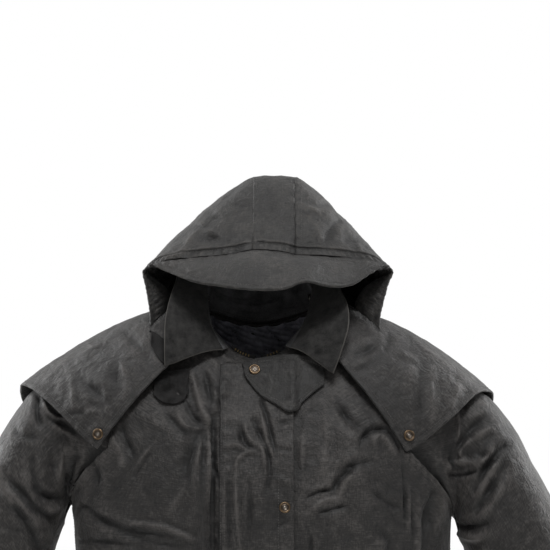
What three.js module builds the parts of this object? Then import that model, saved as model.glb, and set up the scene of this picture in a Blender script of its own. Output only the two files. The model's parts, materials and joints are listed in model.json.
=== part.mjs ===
import * as THREE from "three";

// A long duster coat with a shoulder cape and a detachable hood, filled out as it hangs from a
// neck and shoulders. Millimetres: x to the right seen from the front, y to the back, z up, with
// the origin at the middle of the back neck seam.

// Driving sizes.
const CLOTH = 2.4; // body cloth, two turned layers
const THIN = 1.6; // lining, tapes and stand
const GAP = 0.3; // left at each seam
const HEM_Z = -1250; // length below the back neck seam
const FLY = { sewn: -49, free: 46, top: -52, lift: 1.4 };
const SNAP = { radius: 7.5, rim: 1.3, height: 2.6, sides: 14 };
const SNAP_LINE = { x: 34.5, first: -234, step: -166, count: 6 };
const CORD = { radius: 1.3, sides: 8 };
const LOOP = { radius: 1.5, sides: 6, half: 6, reach: 20 };
const FLUTES = { count: 9, start: -380, depth: 15 };

const COLOURS = {
  wax: 0x3c3a37,
  hood: 0x45433f,
  suede: 0x34322f,
  stand: 0x17171a,
  lining: 0x3a3a42,
  dark: 0x141416,
  brass: 0x8a6a45,
  zip: 0x7d6b48,
};

const table = (names, rows) => ({ names: names.split(" "), rows });

// Rings of the body from the neck seam to the hem. left and right are half widths, front and
// back are y, and the z columns say how high the ring passes at each of its four sides.
const BODY = table("at left right front back zFront zLeft zRight zBack square", [
  [0, 78, 78, -135, 0, -45, 24, 24, 0, 1],
  [1, 128, 128, -160, 20, -80, 10, 8, -28, 0.94],
  [2, 183, 183, -182, 36, -118, -14, -18, -66, 0.86],
  [3, 226, 227, -196, 46, -150, -46, -52, -100, 0.8],
  [4, 235, 238, -203, 53, -172, -84, -90, -138, 0.8],
  [5, 239, 243, -208, 58, -190, -122, -132, -172, 0.8],
  [6, 241, 247, -211, 62, -208, -160, -174, -203, 0.8],
  [7, 242, 250, -213, 65, -228, -198, -213, -232, 0.8],
  [8, 242, 252, -214, 67, -252, -234, -251, -258, 0.8],
  [9, 240, 252, -214, 68, -310, -305, -312, -314, 0.8],
  [10, 240, 250, -212, 66, -390, -388, -390, -392, 0.8],
  [11, 242, 250, -211, 63, -480, -480, -480, -480, 0.82],
  [12, 248, 256, -214, 66, -580, -580, -580, -580, 0.84],
  [13, 260, 266, -222, 76, -690, -690, -690, -690, 0.86],
  [14, 274, 280, -231, 87, -800, -800, -800, -800, 0.88],
  [15, 288, 294, -240, 98, -910, -910, -910, -910, 0.9],
  [16, 301, 307, -249, 108, -1020, -1020, -1020, -1020, 0.9],
  [17, 313, 319, -257, 117, -1130, -1130, -1130, -1130, 0.9],
  [18, 326, 332, -265, 126, HEM_Z, HEM_Z, HEM_Z, HEM_Z, 0.9],
]);
const SHOULDER = 3;
const UNDERARM = 8;

// Where the armhole cuts each ring, as degrees round from the front centre.
const ARMHOLE = table("at front back", [
  [3, 90, 90],
  [4, 57, 121],
  [5, 49, 127],
  [6, 57, 124],
  [7, 71, 112],
  [8, 90, 90],
]);

// Standing folds of the fronts: degrees from the centre, depth and width in mm, top and end z.
const FOLDS = table("turn depth width top end lean", [
  [-18.5, 9, 12, -60, -260, 6],
  [-12.2, 8, 9, -120, -820, 0],
  [-10, -6, 6, -120, -900, 0],
  [-40, 5, 22, -230, -640, -4],
  [23, 6, 18, -110, -330, 8],
  [40, -6, 16, -230, -560, -3],
  [33, 5, 18, -260, -800, 0],
]);

// Sleeve sections: outer and inner edge seen from the front, middle y and half depth.
const SLEEVES = {
  left: table("at ox oz ix iz mid deep", [
    [0, -262, -58, -248, -240, -64, 60],
    [1, -286, -78, -251, -246, -64, 64],
    [2, -306, -96, -254, -253, -65, 70],
    [3, -333, -134, -259, -268, -66, 74],
    [4, -356, -180, -267, -292, -67, 75],
    [5, -376, -225, -280, -330, -68, 74],
    [6, -408, -300, -312, -390, -70, 70],
    [7, -436, -372, -346, -440, -73, 66],
    [8, -466, -450, -380, -502, -78, 62],
    [9, -493, -520, -410, -562, -84, 58],
    [10, -519, -592, -428, -628, -90, 55],
  ]),
  right: table("at ox oz ix iz mid deep", [
    [0, 262, -65, 258, -258, -64, 60],
    [1, 286, -81, 260, -265, -64, 64],
    [2, 309, -99, 262, -273, -65, 70],
    [3, 338, -136, 264, -284, -66, 74],
    [4, 359, -178, 272, -298, -67, 75],
    [5, 381, -220, 287, -328, -68, 74],
    [6, 418, -292, 322, -384, -70, 70],
    [7, 450, -362, 358, -434, -73, 66],
    [8, 482, -438, 394, -494, -78, 62],
    [9, 511, -508, 426, -552, -84, 58],
    [10, 540, -578, 448, -616, -90, 55],
  ]),
};

// Cape: where each line from the neck starts (degrees), where it ends at the hem, and how far
// it bows out halfway in y and z.
const CAPE = table("at turn x y z bowY bowZ", [
  [0, -46, -208, -176, -160, -24, 15],
  [0.06, -57, -226, -164, -146, -22, 16],
  [0.12, -68, -254, -142, -119, -18, 17],
  [0.18, -78, -282, -112, -95, -10, 18],
  [0.23, -87, -300, -84, -84, -4, 19],
  [0.28, -97, -313, -52, -84, 2, 20],
  [0.34, -112, -306, -2, -120, 12, 22],
  [0.4, -132, -252, 56, -210, 24, 18],
  [0.45, -156, -140, 88, -276, 28, 8],
  [0.5, -180, 0, 94, -296, 28, 4],
  [0.55, -204, 140, 88, -276, 28, 8],
  [0.6, -228, 252, 56, -214, 24, 18],
  [0.66, -248, 302, -2, -132, 12, 22],
  [0.72, -263, 309, -52, -96, 2, 22],
  [0.77, -273, 300, -84, -88, -4, 22],
  [0.82, -282, 284, -112, -92, -10, 20],
  [0.88, -292, 254, -142, -119, -18, 17],
  [0.94, -303, 216, -164, -150, -22, 17],
  [1, -314, 192, -176, -164, -24, 16],
]);

// Collar sections round the neck: neck seam, roll line and outer edge of the leaf.
const COLLAR = table("at nx ny nz fx fy fz ex ey ez", [
  [0, -40, -130, -32, -46, -138, -33, -121, -172, -53],
  [0.12, -58, -113, -8, -63, -117, 1, -122, -165, -14],
  [0.22, -72, -90, 14, -67, -88, 30, -119, -140, 18],
  [0.32, -77, -62, 24, -67, -58, 54, -110, -102, 52],
  [0.42, -58, -20, 14, -52, -14, 58, -88, -28, 92],
  [0.5, 0, 1.5, 1, 0, 12, 54, 0, 42, 104],
  [0.58, 58, -20, 14, 52, -14, 58, 88, -28, 92],
  [0.68, 77, -62, 24, 69, -58, 52, 108, -102, 47],
  [0.78, 72, -90, 14, 69, -88, 28, 118, -138, 22],
  [0.88, 56, -115, -8, 60, -118, 1, 116, -163, -10],
  [1, 36, -132, -30, 42, -140, -30, 98, -172, -63],
]);

// Hood arches from the face edge back to the neck edge, one for each step back. base is the
// lower edge, wide is the widest place, top is the crown, roof is how square the arch is, tuck
// how late it flares and pinch how far the drawcord's casing draws the wall in.
const HOOD = table(
  "step baseL baseR baseY wideL wideR wideZ wideY topZ topY roof tuck pinch",
  [
    [0, -141, 159, -119, -152, 177, 68, -106, 91, -112, 2.3, 1.8, 0],
    [1, -119, 129, -88, -149, 173, 66, -86, 118, -96, 1.9, 1, 13],
    [2, -136, 153, -72, -147, 170, 65, -64, 146, -72, 1.6, 1, 0],
    [3, -142, 157, -58, -146, 168, 65, -44, 170, -48, 1.42, 1, 0],
    [4.5, -141, 154, -30, -144, 166, 66, -16, 193, -8, 1.24, 1, 0],
    [6, -135, 147, 4, -139, 160, 66, 14, 193, 26, 1.28, 1, 0],
    [7.5, -120, 130, 30, -127, 142, 62, 42, 172, 60, 1.5, 1, 0],
    [9, -100, 108, 44, -110, 120, 54, 62, 130, 84, 1.8, 1, 0],
    [10.4, -74, 80, 52, -84, 92, 34, 72, 66, 92, 2, 1, 0],
    [12, -40, 46, 56, -44, 50, -32, 60, -30, 66, 2, 1, 0],
  ],
);
const STRIP = { left: -7, right: 48 }; // seams of the hood's centre strip
const SEAM_PEAK = { x: 2, rise: 8, reach: 34 }; // the brim seam's small peak

// Brim hem from its left to its right corner.
const BRIM = table("at x y z", [
  [0, -139, -114, 79],
  [0.12, -112, -136, 67],
  [0.25, -80, -160, 56],
  [0.42, -24, -184, 48],
  [0.58, 30, -192, 47],
  [0.68, 62, -184, 57],
  [0.78, 96, -168, 50],
  [0.86, 124, -150, 53],
  [0.93, 149, -130, 69],
  [1, 168, -115, 76],
]);

// Flat pieces lying on the fronts: upper and lower edge at each x.
const NECK_TAB = table("x upper lower", [
  [-20, -52, -60],
  [-9, -46, -78],
  [5, -43, -93],
  [27, -40, -106],
  [43, -39, -113],
  [64, -41, -95],
  [86, -50, -77],
]);
const THROAT_TAB = table("x upper lower", [
  [-136, -66, -88],
  [-129, -62, -97],
  [-118, -60, -102],
  [-104, -58, -102],
  [-95, -57, -96],
  [-89, -58, -84],
]);

const THROAT_STRAP = table("x upper lower", [
  [-141, -10, -17],
  [-136, -9, -32],
  [-129, -13, -43],
  [-122, -19, -51],
]);
const CAPE_SNAPS = { left: [-207, -141], right: [195.5, -143] };
const TAB_SNAP = [-4.5, -58];
const SMALL_SNAP = { radius: 5, rim: 0.9, height: 1.8, sides: 10 };

// Elastic loops of the hood's neck edge: where each starts, which way it lies and how high.
const LOOPS = table("name x y along inward rise", [
  ["left_front", -133, -62, 0, 1, 0.6],
  ["left_back", -92, 22, 40, 1, 2.2],
  ["right_front", 147, -62, 0, -1, 0.6],
  ["right_back", 100, 20, -40, -1, 2.2],
]);

// Drawcord route seen from above, from the end of the hood's casing to its free end.
const CORD_ROUTE = {
  shift: 10,
  rise: 1.8,
  toggle: 7,
  rows: [
    [115, -89],
    [110, -84],
    [105.5, -77],
    [104, -68],
    [106.5, -56],
    [110, -44],
    [110.5, -32],
    [107, -20],
    [102.5, -9],
    [97, -3],
    [90, 0],
    [83, 2],
    [75, 2],
    [67, 1],
  ],
};
const TOGGLE = { radius: 3.6 };

// Reads a table smoothly at a place between its rows.
function look(tab, key) {
  const rows = tab.rows;
  const last = rows.length - 1;
  let k = 0;
  while (k < last - 1 && key > rows[k + 1][0]) k += 1;
  const span = rows[k + 1][0] - rows[k][0];
  const t = Math.min(Math.max((key - rows[k][0]) / span, 0), 1);
  const slope = (i, c) => {
    const a = rows[Math.max(i - 1, 0)];
    const b = rows[Math.min(i + 1, last)];
    return ((b[c] - a[c]) / (b[0] - a[0])) * span;
  };
  const found = {};
  tab.names.forEach((name, c) => {
    const [p, q] = [rows[k][c], rows[k + 1][c]];
    const [m, n] = [slope(k, c), slope(k + 1, c)];
    const [t2, t3] = [t * t, t * t * t];
    found[name] =
      (2 * t3 - 3 * t2 + 1) * p + (t3 - 2 * t2 + t) * m + (3 * t2 - 2 * t3) * q + (t3 - t2) * n;
  });
  return found;
}

const point = (x, y, z) => new THREE.Vector3(x, y, z);
const radians = (degrees) => (degrees * Math.PI) / 180;
const power = (v, p) => Math.sign(v) * Math.abs(v) ** p;
const mix = (a, b, t) => a + (b - a) * t;
const bell = (v) => Math.exp(-v * v);
const ease = (v) => {
  const t = Math.min(Math.max(v, 0), 1);
  return t * t * (3 - 2 * t);
};

// How far the folds and the skirt's flutes push the body's surface out.
function folds(turn, z, halfWidth) {
  let out = 0;
  for (const [at, depth, width, top, end, lean] of FOLDS.rows) {
    const run = (top - z) / (top - end);
    if (run <= 0 || run >= 1) continue;
    const across = ((turn - at - lean * run) * halfWidth * 1.25) / 60;
    out += depth * bell(across / width) * ease(run * 6) * ease((1 - run) * 3);
  }
  const grown = ease((FLUTES.start - z) / (FLUTES.start - HEM_Z)) * FLUTES.depth;
  const round = radians(turn) * FLUTES.count;
  return out + grown * (0.7 * Math.cos(round + 0.9) + 0.3 * Math.cos(round * 0.57 + 2));
}

// The body's surface: turn is degrees round from the front centre, at is the ring.
function body(turn, at) {
  const r = look(BODY, at);
  const [s, c] = [Math.sin(radians(turn)), Math.cos(radians(turn))];
  const wide = s >= 0 ? r.right : r.left;
  const zSide = s >= 0 ? r.zRight : r.zLeft;
  const mid = (r.front + r.back) / 2;
  const half = (r.back - r.front) / 2;
  const z = mix(zSide, c >= 0 ? r.zFront : r.zBack, c * c);
  const p = point(wide * power(s, r.square), mid - half * power(c, r.square), z);
  const nearest = ((turn + 540) % 360) - 180;
  const out = folds(nearest, z, wide);
  const away = point(s * half, -c * wide, 0).normalize();
  return p.addScaledVector(away, out);
}

// A piece of cloth: a grid of points on its outer face and the wall's thickness at each.
class Cloth {
  constructor(rows, cols, at, { thick = CLOTH, closed = false, flip = false, lift = 0 } = {}) {
    Object.assign(this, { rows, cols, thick, closed });
    this.p = [];
    for (let j = 0; j <= rows; j += 1) {
      this.p.push([]);
      for (let i = 0; i <= (closed ? cols - 1 : cols); i += 1) this.p[j].push(at(i, j));
    }
    this.n = this.p.map((row, j) => row.map((_, i) => this.normal(i, j, flip)));
    const rise = typeof lift === "function" ? lift : () => lift;
    this.p = this.p.map((row, j) =>
      row.map((p, i) => p.clone().addScaledVector(this.n[j][i], rise(i, j))),
    );
    this.t = this.n.map((row) => row.map((n) => n.clone().multiplyScalar(thick)));
  }

  get(i, j) {
    const width = this.p[j].length;
    return this.p[j][this.closed ? (i + width) % width : Math.min(Math.max(i, 0), width - 1)];
  }

  normal(i, j, flip) {
    const across = this.get(i + 1, j).clone().sub(this.get(i - 1, j));
    const down = this.get(i, Math.min(j + 1, this.rows)).clone();
    down.sub(this.get(i, Math.max(j - 1, 0)));
    const n = across.cross(down).normalize();
    return flip ? n.negate() : n;
  }

  // The wall as one closed solid.
  geometry() {
    const width = this.p[0].length;
    const place = [];
    const faces = [];
    for (const side of [0, 1]) {
      this.p.forEach((row, j) =>
        row.forEach((p, i) => place.push(...p.clone().addScaledVector(this.t[j][i], -side).toArray())),
      );
    }
    const id = (i, j, side) => side * width * this.p.length + j * width + (i % width);
    const at = (k) => point(place[3 * k], place[3 * k + 1], place[3 * k + 2]);
    const quad = (a, b, c, d) => {
      if (at(a).distanceTo(at(c)) <= at(b).distanceTo(at(d))) faces.push(a, b, c, a, c, d);
      else faces.push(a, b, d, b, c, d);
    };
    const spans = this.closed ? width : width - 1;
    for (let j = 0; j < this.rows; j += 1) {
      for (let i = 0; i < spans; i += 1) {
        quad(id(i, j, 0), id(i, j + 1, 0), id(i + 1, j + 1, 0), id(i + 1, j, 0));
        quad(id(i, j, 1), id(i + 1, j, 1), id(i + 1, j + 1, 1), id(i, j + 1, 1));
      }
    }
    for (let i = 0; i < spans; i += 1) {
      quad(id(i, 0, 0), id(i + 1, 0, 0), id(i + 1, 0, 1), id(i, 0, 1));
      quad(id(i, this.rows, 0), id(i, this.rows, 1), id(i + 1, this.rows, 1), id(i + 1, this.rows, 0));
    }
    if (!this.closed) {
      const e = width - 1;
      for (let j = 0; j < this.rows; j += 1) {
        quad(id(0, j, 0), id(0, j, 1), id(0, j + 1, 1), id(0, j + 1, 0));
        quad(id(e, j, 0), id(e, j + 1, 0), id(e, j + 1, 1), id(e, j, 1));
      }
    }
    return outward(place, faces);
  }
}

// A geometry whose faces point out of the solid.
function outward(place, faces) {
  const at = (k) => point(place[3 * k], place[3 * k + 1], place[3 * k + 2]);
  let volume = 0;
  for (let k = 0; k < faces.length; k += 3) {
    volume += at(faces[k]).dot(at(faces[k + 1]).cross(at(faces[k + 2])));
  }
  const order = volume < 0 ? faces.slice().reverse() : faces;
  const g = new THREE.BufferGeometry();
  g.setAttribute("position", new THREE.Float32BufferAttribute(place, 3));
  g.setIndex(order);
  return g;
}

// Grid places along one edge of a piece, each with its neighbour inside the piece.
function edge(cloth, side, from, to) {
  const step = from <= to ? 1 : -1;
  const last = cloth.p[0].length - 1;
  const found = [];
  for (let k = from; k !== to + step; k += step) {
    if (side === "top") found.push([k, 0, k, 1]);
    if (side === "bottom") found.push([k, cloth.rows, k, cloth.rows - 1]);
    if (side === "left") found.push([0, k, 1, k]);
    if (side === "right") found.push([last, k, last - 1, k]);
  }
  return found.map((place) => ({ cloth, place }));
}

// Joins two edges: both walls end on the same ribbon, half the gap each way from it.
function sew(first, second) {
  first.forEach((a, k) => {
    const b = second[k];
    const [ai, aj, aii, ajj] = a.place;
    const [bi, bj, bii, bjj] = b.place;
    const ta = a.cloth.t[aj][ai].clone().normalize();
    const tb = b.cloth.t[bj][bi].clone().normalize();
    const ribbon = ta.clone().add(tb).normalize();
    const length = a.cloth.thick / Math.max(ribbon.dot(ta), 0.55);
    const seam = a.cloth.p[aj][ai].clone().add(b.cloth.p[bj][bi]).multiplyScalar(0.5);
    const ends = [
      [a.cloth, ai, aj, aii, ajj],
      [b.cloth, bi, bj, bii, bjj],
    ];
    for (const [cloth, i, j, ii, jj] of ends) {
      const inside = cloth.p[jj][ii].clone().sub(seam);
      inside.addScaledVector(ribbon, -inside.dot(ribbon)).normalize();
      cloth.p[j][i] = seam.clone().addScaledVector(inside, GAP / 2);
      cloth.t[j][i] = ribbon.clone().multiplyScalar(length);
    }
  });
}

// The foremost place of a piece at (x, z), or its highest at (x, y), with the face's direction.
function touch(cloth, axis, u, v) {
  const [a, b, d] = axis === "y" ? ["x", "z", "y"] : ["x", "y", "z"];
  const sign = axis === "y" ? -1 : 1;
  let best = null;
  for (let j = 0; j < cloth.rows; j += 1) {
    for (let i = 0; i < cloth.p[0].length - 1; i += 1) {
      const [p, q] = [cloth.p[j][i], cloth.p[j + 1][i + 1]];
      for (const r of [cloth.p[j + 1][i], cloth.p[j][i + 1]]) {
        const det = (q[a] - p[a]) * (r[b] - p[b]) - (r[a] - p[a]) * (q[b] - p[b]);
        const s = ((u - p[a]) * (r[b] - p[b]) - (r[a] - p[a]) * (v - p[b])) / det;
        const t = ((q[a] - p[a]) * (v - p[b]) - (u - p[a]) * (q[b] - p[b])) / det;
        if (!(s >= 0 && t >= 0 && s + t <= 1)) continue;
        const found = p.clone().multiplyScalar(1 - s - t).addScaledVector(q, s).addScaledVector(r, t);
        if (best && sign * found[d] < sign * best.at[d]) continue;
        const face = q.clone().sub(p).cross(r.clone().sub(p)).normalize();
        best = { at: found, face: face.multiplyScalar(Math.sign(face[d]) * sign) };
      }
    }
  }
  return best;
}

const coat = new THREE.Group();

function add(name, geometry, colour, { roughness = 0.85, metalness = 0 } = {}) {
  const material = new THREE.MeshStandardMaterial({ color: colour, roughness, metalness });
  const mesh = new THREE.Mesh(geometry, material);
  mesh.name = name;
  coat.add(mesh);
}

// Rings used by all three body panels: half steps through the armhole, whole ones elsewhere.
const RINGS = [0, 1, 2];
for (let at = SHOULDER; at < UNDERARM; at += 0.5) RINGS.push(at);
for (let at = UNDERARM; at <= 18; at += 1) RINGS.push(at);
const topRow = RINGS.indexOf(SHOULDER);
const lowRow = RINGS.indexOf(UNDERARM);

function sideTurn(at, face) {
  return at > SHOULDER && at < UNDERARM ? look(ARMHOLE, at)[face] : 90;
}

// Fronts: fixed narrow columns by the centre, where the standing folds are, and even ones beyond.
// The first column leaves the opening at the zip.
const FRONT_TURNS = [0.03, 4, 8, 10, 12.2, 15, 18.5, 23, 29];
const SIDE_COLUMNS = 5;

function front(side) {
  const fixed = FRONT_TURNS.length - 1;
  return new Cloth(RINGS.length - 1, fixed + SIDE_COLUMNS, (i, j) => {
    const end = sideTurn(RINGS[j], "front");
    const turn = i <= fixed
      ? FRONT_TURNS[i]
      : mix(FRONT_TURNS[fixed], end, (i - fixed) / SIDE_COLUMNS);
    return body(side * turn, RINGS[j]);
  }, { flip: side > 0 });
}
const frontLeft = front(-1);
const frontRight = front(1);

const BACK_COLUMNS = 20;
const back = new Cloth(RINGS.length - 1, BACK_COLUMNS, (i, j) => {
  const start = sideTurn(RINGS[j], "back");
  return body(mix(start, 360 - start, i / BACK_COLUMNS), RINGS[j]);
}, { flip: true });

// Sleeves grow out of the armhole's own points.
function sleeve(name, frontPanel, backSide) {
  const loop = [
    ...edge(frontPanel, "right", topRow, lowRow),
    ...edge(back, backSide, lowRow, topRow),
  ];
  const half = loop.length / 2;
  const sections = SLEEVES[name].rows.length;
  const cloth = new Cloth(sections, loop.length, (i, j) => {
    const { cloth: panel, place } = loop[i];
    if (j === 0) return panel.p[place[1]][place[0]].clone();
    const r = look(SLEEVES[name], j - 1);
    const along = i < half ? mix(5, 175, i / (half - 1)) : mix(185, 355, (i - half) / (half - 1));
    const [c, s] = [Math.cos(radians(along)), Math.sin(radians(along))];
    const middle = point((r.ox + r.ix) / 2, r.mid, (r.oz + r.iz) / 2);
    const out = point((r.ox - r.ix) / 2, 0, (r.oz - r.iz) / 2);
    return middle.addScaledVector(out, power(c, 0.92)).add(point(0, -r.deep * power(s, 0.92), 0));
  }, { closed: true, flip: name === "left" });
  return { cloth, loop };
}
const sleeveLeft = sleeve("left", frontLeft, "right");
const sleeveRight = sleeve("right", frontRight, "left");

// Where two panels and a sleeve meet, all four corners share one ribbon.
function knot(corners) {
  const ribbon = point(0, 0, 0);
  for (const { cloth, place } of corners) ribbon.add(cloth.t[place[1]][place[0]]);
  ribbon.divideScalar(corners.length);
  for (const { cloth, place } of corners) {
    cloth.t[place[1]][place[0]] = ribbon.clone();
    const behind = cloth.closed && place[0] >= cloth.cols / 2;
    const toBack = cloth === back || behind;
    cloth.p[place[1]][place[0]].y += toBack ? GAP / 2 : -GAP / 2;
  }
}

const lastRow = RINGS.length - 1;
for (const [panel, side] of [[frontLeft, "right"], [frontRight, "left"]]) {
  sew(edge(panel, "right", 0, topRow), edge(back, side, 0, topRow));
  sew(edge(panel, "right", lowRow, lastRow), edge(back, side, lowRow, lastRow));
}
for (const { cloth, loop } of [sleeveLeft, sleeveRight]) {
  const rim = edge(cloth, "top", 0, loop.length - 1);
  const half = loop.length / 2;
  sew(rim, loop);
  knot([loop[0], loop[loop.length - 1], rim[0], rim[loop.length - 1]]);
  knot([loop[half - 1], loop[half], rim[half - 1], rim[half]]);
}

add("back", back.geometry(), COLOURS.wax);
add("front_left", frontLeft.geometry(), COLOURS.wax);
add("front_right", frontRight.geometry(), COLOURS.wax);
add("sleeve_left", sleeveLeft.cloth.geometry(), COLOURS.wax);
add("sleeve_right", sleeveRight.cloth.geometry(), COLOURS.wax);

// Cape, from just outside the collar's seam to its hem.
const CAPE_STEPS = { round: 38, down: 8, out: [9, 5], up: [-3, 4] };
const cape = new Cloth(CAPE_STEPS.down, CAPE_STEPS.round, (i, j) => {
  const r = look(CAPE, i / CAPE_STEPS.round);
  const v = j / CAPE_STEPS.down;
  const neck = body(r.turn, 0);
  const away = point(Math.sin(radians(r.turn)), -Math.cos(radians(r.turn)), 0);
  const side = ease((Math.abs(((r.turn + 540) % 360) - 180) - 46) / 34);
  const [out, up] = [mix(...CAPE_STEPS.out, side), mix(...CAPE_STEPS.up, side)];
  const start = neck.addScaledVector(away, out).add(point(0, 0, up));
  const bow = 4 * v * (1 - v);
  return start.lerp(point(r.x, r.y, r.z), v).add(point(0, r.bowY * bow, r.bowZ * bow));
}, { lift: 1.9 });
add("cape", cape.geometry(), COLOURS.wax);

// Collar: stand from the neck seam to the roll, leaf from the roll to its outer edge.
const COLLAR_STEPS = { round: 30, stand: 3, leaf: 5, roll: 6, raise: 1.4 };
function collarPart(from, to, rows, options) {
  return new Cloth(rows, COLLAR_STEPS.round, (i, j) => {
    const r = look(COLLAR, i / COLLAR_STEPS.round);
    const ends = {
      n: point(r.nx, r.ny, r.nz + COLLAR_STEPS.raise),
      f: point(r.fx, r.fy, r.fz),
      e: point(r.ex, r.ey, r.ez),
    };
    const v = j / rows;
    const p = ends[from].clone().lerp(ends[to], v);
    const arch = from === "f" ? 4 * v * (1 - v) * COLLAR_STEPS.roll * (1 - v) : 0;
    return p.add(point(0, 0, arch));
  }, options);
}
const stand = collarPart("n", "f", COLLAR_STEPS.stand, { flip: true, thick: THIN });
const leaf = collarPart("f", "e", COLLAR_STEPS.leaf, { flip: true, thick: THIN });
sew(edge(stand, "bottom", 0, COLLAR_STEPS.round), edge(leaf, "top", 0, COLLAR_STEPS.round));
add("collar_stand", stand.geometry(), COLOURS.stand);
add("collar_leaf", leaf.geometry(), COLOURS.suede, { roughness: 0.95 });

// Hood: arches whose lower edge lies on the cape.
const HOOD_STEPS = { back: 12, wall: 3, roof: 6, strip: 3 };
const HOOD_SIDE = HOOD_STEPS.wall + HOOD_STEPS.roof;
const HOOD_REST = { raise: 3.6, lowest: -34 };

// The hood's neck edge rests on the cape, and hangs free behind the neck.
function baseHeight(x, y) {
  const found = touch(cape, "z", x, y);
  return Math.max(found ? found.at.z + HOOD_REST.raise : HOOD_REST.lowest, HOOD_REST.lowest);
}

function hoodSide(side, i, j) {
  const r = look(HOOD, j);
  const [baseX, wideX] = side < 0 ? [r.baseL, r.wideL] : [r.baseR, r.wideR];
  const baseZ = baseHeight(baseX, r.baseY);
  if (i <= HOOD_STEPS.wall) {
    const t = i / HOOD_STEPS.wall;
    const x = mix(baseX, wideX, t ** r.tuck) - side * r.pinch * Math.sin(Math.PI * t);
    return point(x, mix(r.baseY, r.wideY, t), mix(baseZ, r.wideZ, t));
  }
  const angle = (((i - HOOD_STEPS.wall) / HOOD_STEPS.roof) * Math.PI) / 2;
  const [c, s] = [Math.cos(angle) ** (2 / r.roof), Math.sin(angle) ** (2 / r.roof)];
  const shoulderX = side < 0 ? STRIP.left : STRIP.right;
  const narrow = Math.min(1, Math.abs(wideX) / 70);
  const p = point(
    mix(shoulderX * narrow, wideX, c),
    mix(r.wideY, r.topY, s),
    mix(r.wideZ, r.topZ, s),
  );
  return seamPeak(p, j);
}

function seamPeak(p, j) {
  const fade = Math.max(0, 1 - j / 2);
  p.z += SEAM_PEAK.rise * fade * bell((p.x - SEAM_PEAK.x) / SEAM_PEAK.reach);
  return p;
}

const hoodLeft = new Cloth(HOOD_STEPS.back, HOOD_SIDE, (i, j) => hoodSide(-1, i, j), {});
const hoodRight = new Cloth(
  HOOD_STEPS.back, HOOD_SIDE, (i, j) => hoodSide(1, i, j), { flip: true },
);
const hoodStrip = new Cloth(HOOD_STEPS.back, HOOD_STEPS.strip, (i, j) => {
  const t = i / HOOD_STEPS.strip;
  const p = hoodSide(-1, HOOD_SIDE, j).lerp(hoodSide(1, HOOD_SIDE, j), t);
  p.z += 4 * t * (1 - t) * 2;
  return p;
}, {});
sew(edge(hoodLeft, "right", 0, HOOD_STEPS.back), edge(hoodStrip, "left", 0, HOOD_STEPS.back));
sew(edge(hoodRight, "right", 0, HOOD_STEPS.back), edge(hoodStrip, "right", 0, HOOD_STEPS.back));

// Brim: from the hood's front edge above its corners to the waved hem.
const seamLine = [
  ...edge(hoodLeft, "top", HOOD_STEPS.wall + 1, HOOD_SIDE),
  ...edge(hoodStrip, "top", 1, HOOD_STEPS.strip - 1),
  ...edge(hoodRight, "top", HOOD_SIDE, HOOD_STEPS.wall + 1),
];
const BRIM_STEPS = { rows: 4, bow: 9 };
const brim = new Cloth(BRIM_STEPS.rows, seamLine.length - 1, (i, j) => {
  const { cloth, place } = seamLine[i];
  const seam = cloth.p[place[1]][place[0]];
  const ends = [BRIM.rows[0][1], BRIM.rows[BRIM.rows.length - 1][1]];
  const across = Math.min(Math.max((seam.x - ends[0]) / (ends[1] - ends[0]), 0), 1);
  const hem = look(BRIM, across);
  const v = j / BRIM_STEPS.rows;
  const bow = 4 * v * (1 - v) * BRIM_STEPS.bow * Math.sin(Math.PI * across);
  return seam.clone().lerp(point(hem.x, hem.y, hem.z), v).add(point(0, 0, bow));
}, { flip: true });
sew(edge(brim, "top", 0, seamLine.length - 1), seamLine);
add("hood_side_left", hoodLeft.geometry(), COLOURS.hood);
add("hood_side_right", hoodRight.geometry(), COLOURS.hood);
add("hood_centre_strip", hoodStrip.geometry(), COLOURS.hood);
add("hood_brim", brim.geometry(), COLOURS.hood);

// The body ring and turn at a place seen from the front.
function onFront(x, z) {
  let [low, high] = [0, BODY.rows.length - 1];
  const turnAt = (at) => {
    const r = look(BODY, at);
    const share = Math.min(Math.abs(x) / (x < 0 ? r.left : r.right), 1);
    return (Math.sign(x) * Math.asin(share ** (1 / r.square)) * 180) / Math.PI;
  };
  for (let k = 0; k < 24; k += 1) {
    const at = (low + high) / 2;
    if (body(turnAt(at), at).z > z) low = at;
    else high = at;
  }
  return body(turnAt(low), low);
}

// Storm fly: sewn down along its left edge, its right edge free, from the neck to the hem.
const FLY_COLUMNS = 5;
const flyRows = [FLY.top];
for (let z = -80; z > HEM_Z + 30; z -= 52) flyRows.push(z);
flyRows.push(HEM_Z + 4);
const fly = new Cloth(flyRows.length - 1, FLY_COLUMNS, (i, j) => {
  return onFront(mix(FLY.sewn, FLY.free, i / FLY_COLUMNS), flyRows[j]);
}, { flip: true, lift: CLOTH + FLY.lift });
add("storm_fly", fly.geometry(), COLOURS.wax);

// A flat tab whose outline is given by an upper and a lower edge, lying on what is under it.
function tab(shape, cols, rows, under, thick, rise) {
  const [first, last] = [shape.rows[0][0], shape.rows[shape.rows.length - 1][0]];
  return new Cloth(rows, cols, (i, j) => {
    const x = mix(first, last, i / cols);
    const r = look(shape, x);
    const z = mix(r.upper, r.lower, j / rows);
    return point(x, foremost(under, x, z), z);
  }, { flip: true, thick, lift: thick + rise });
}

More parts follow.
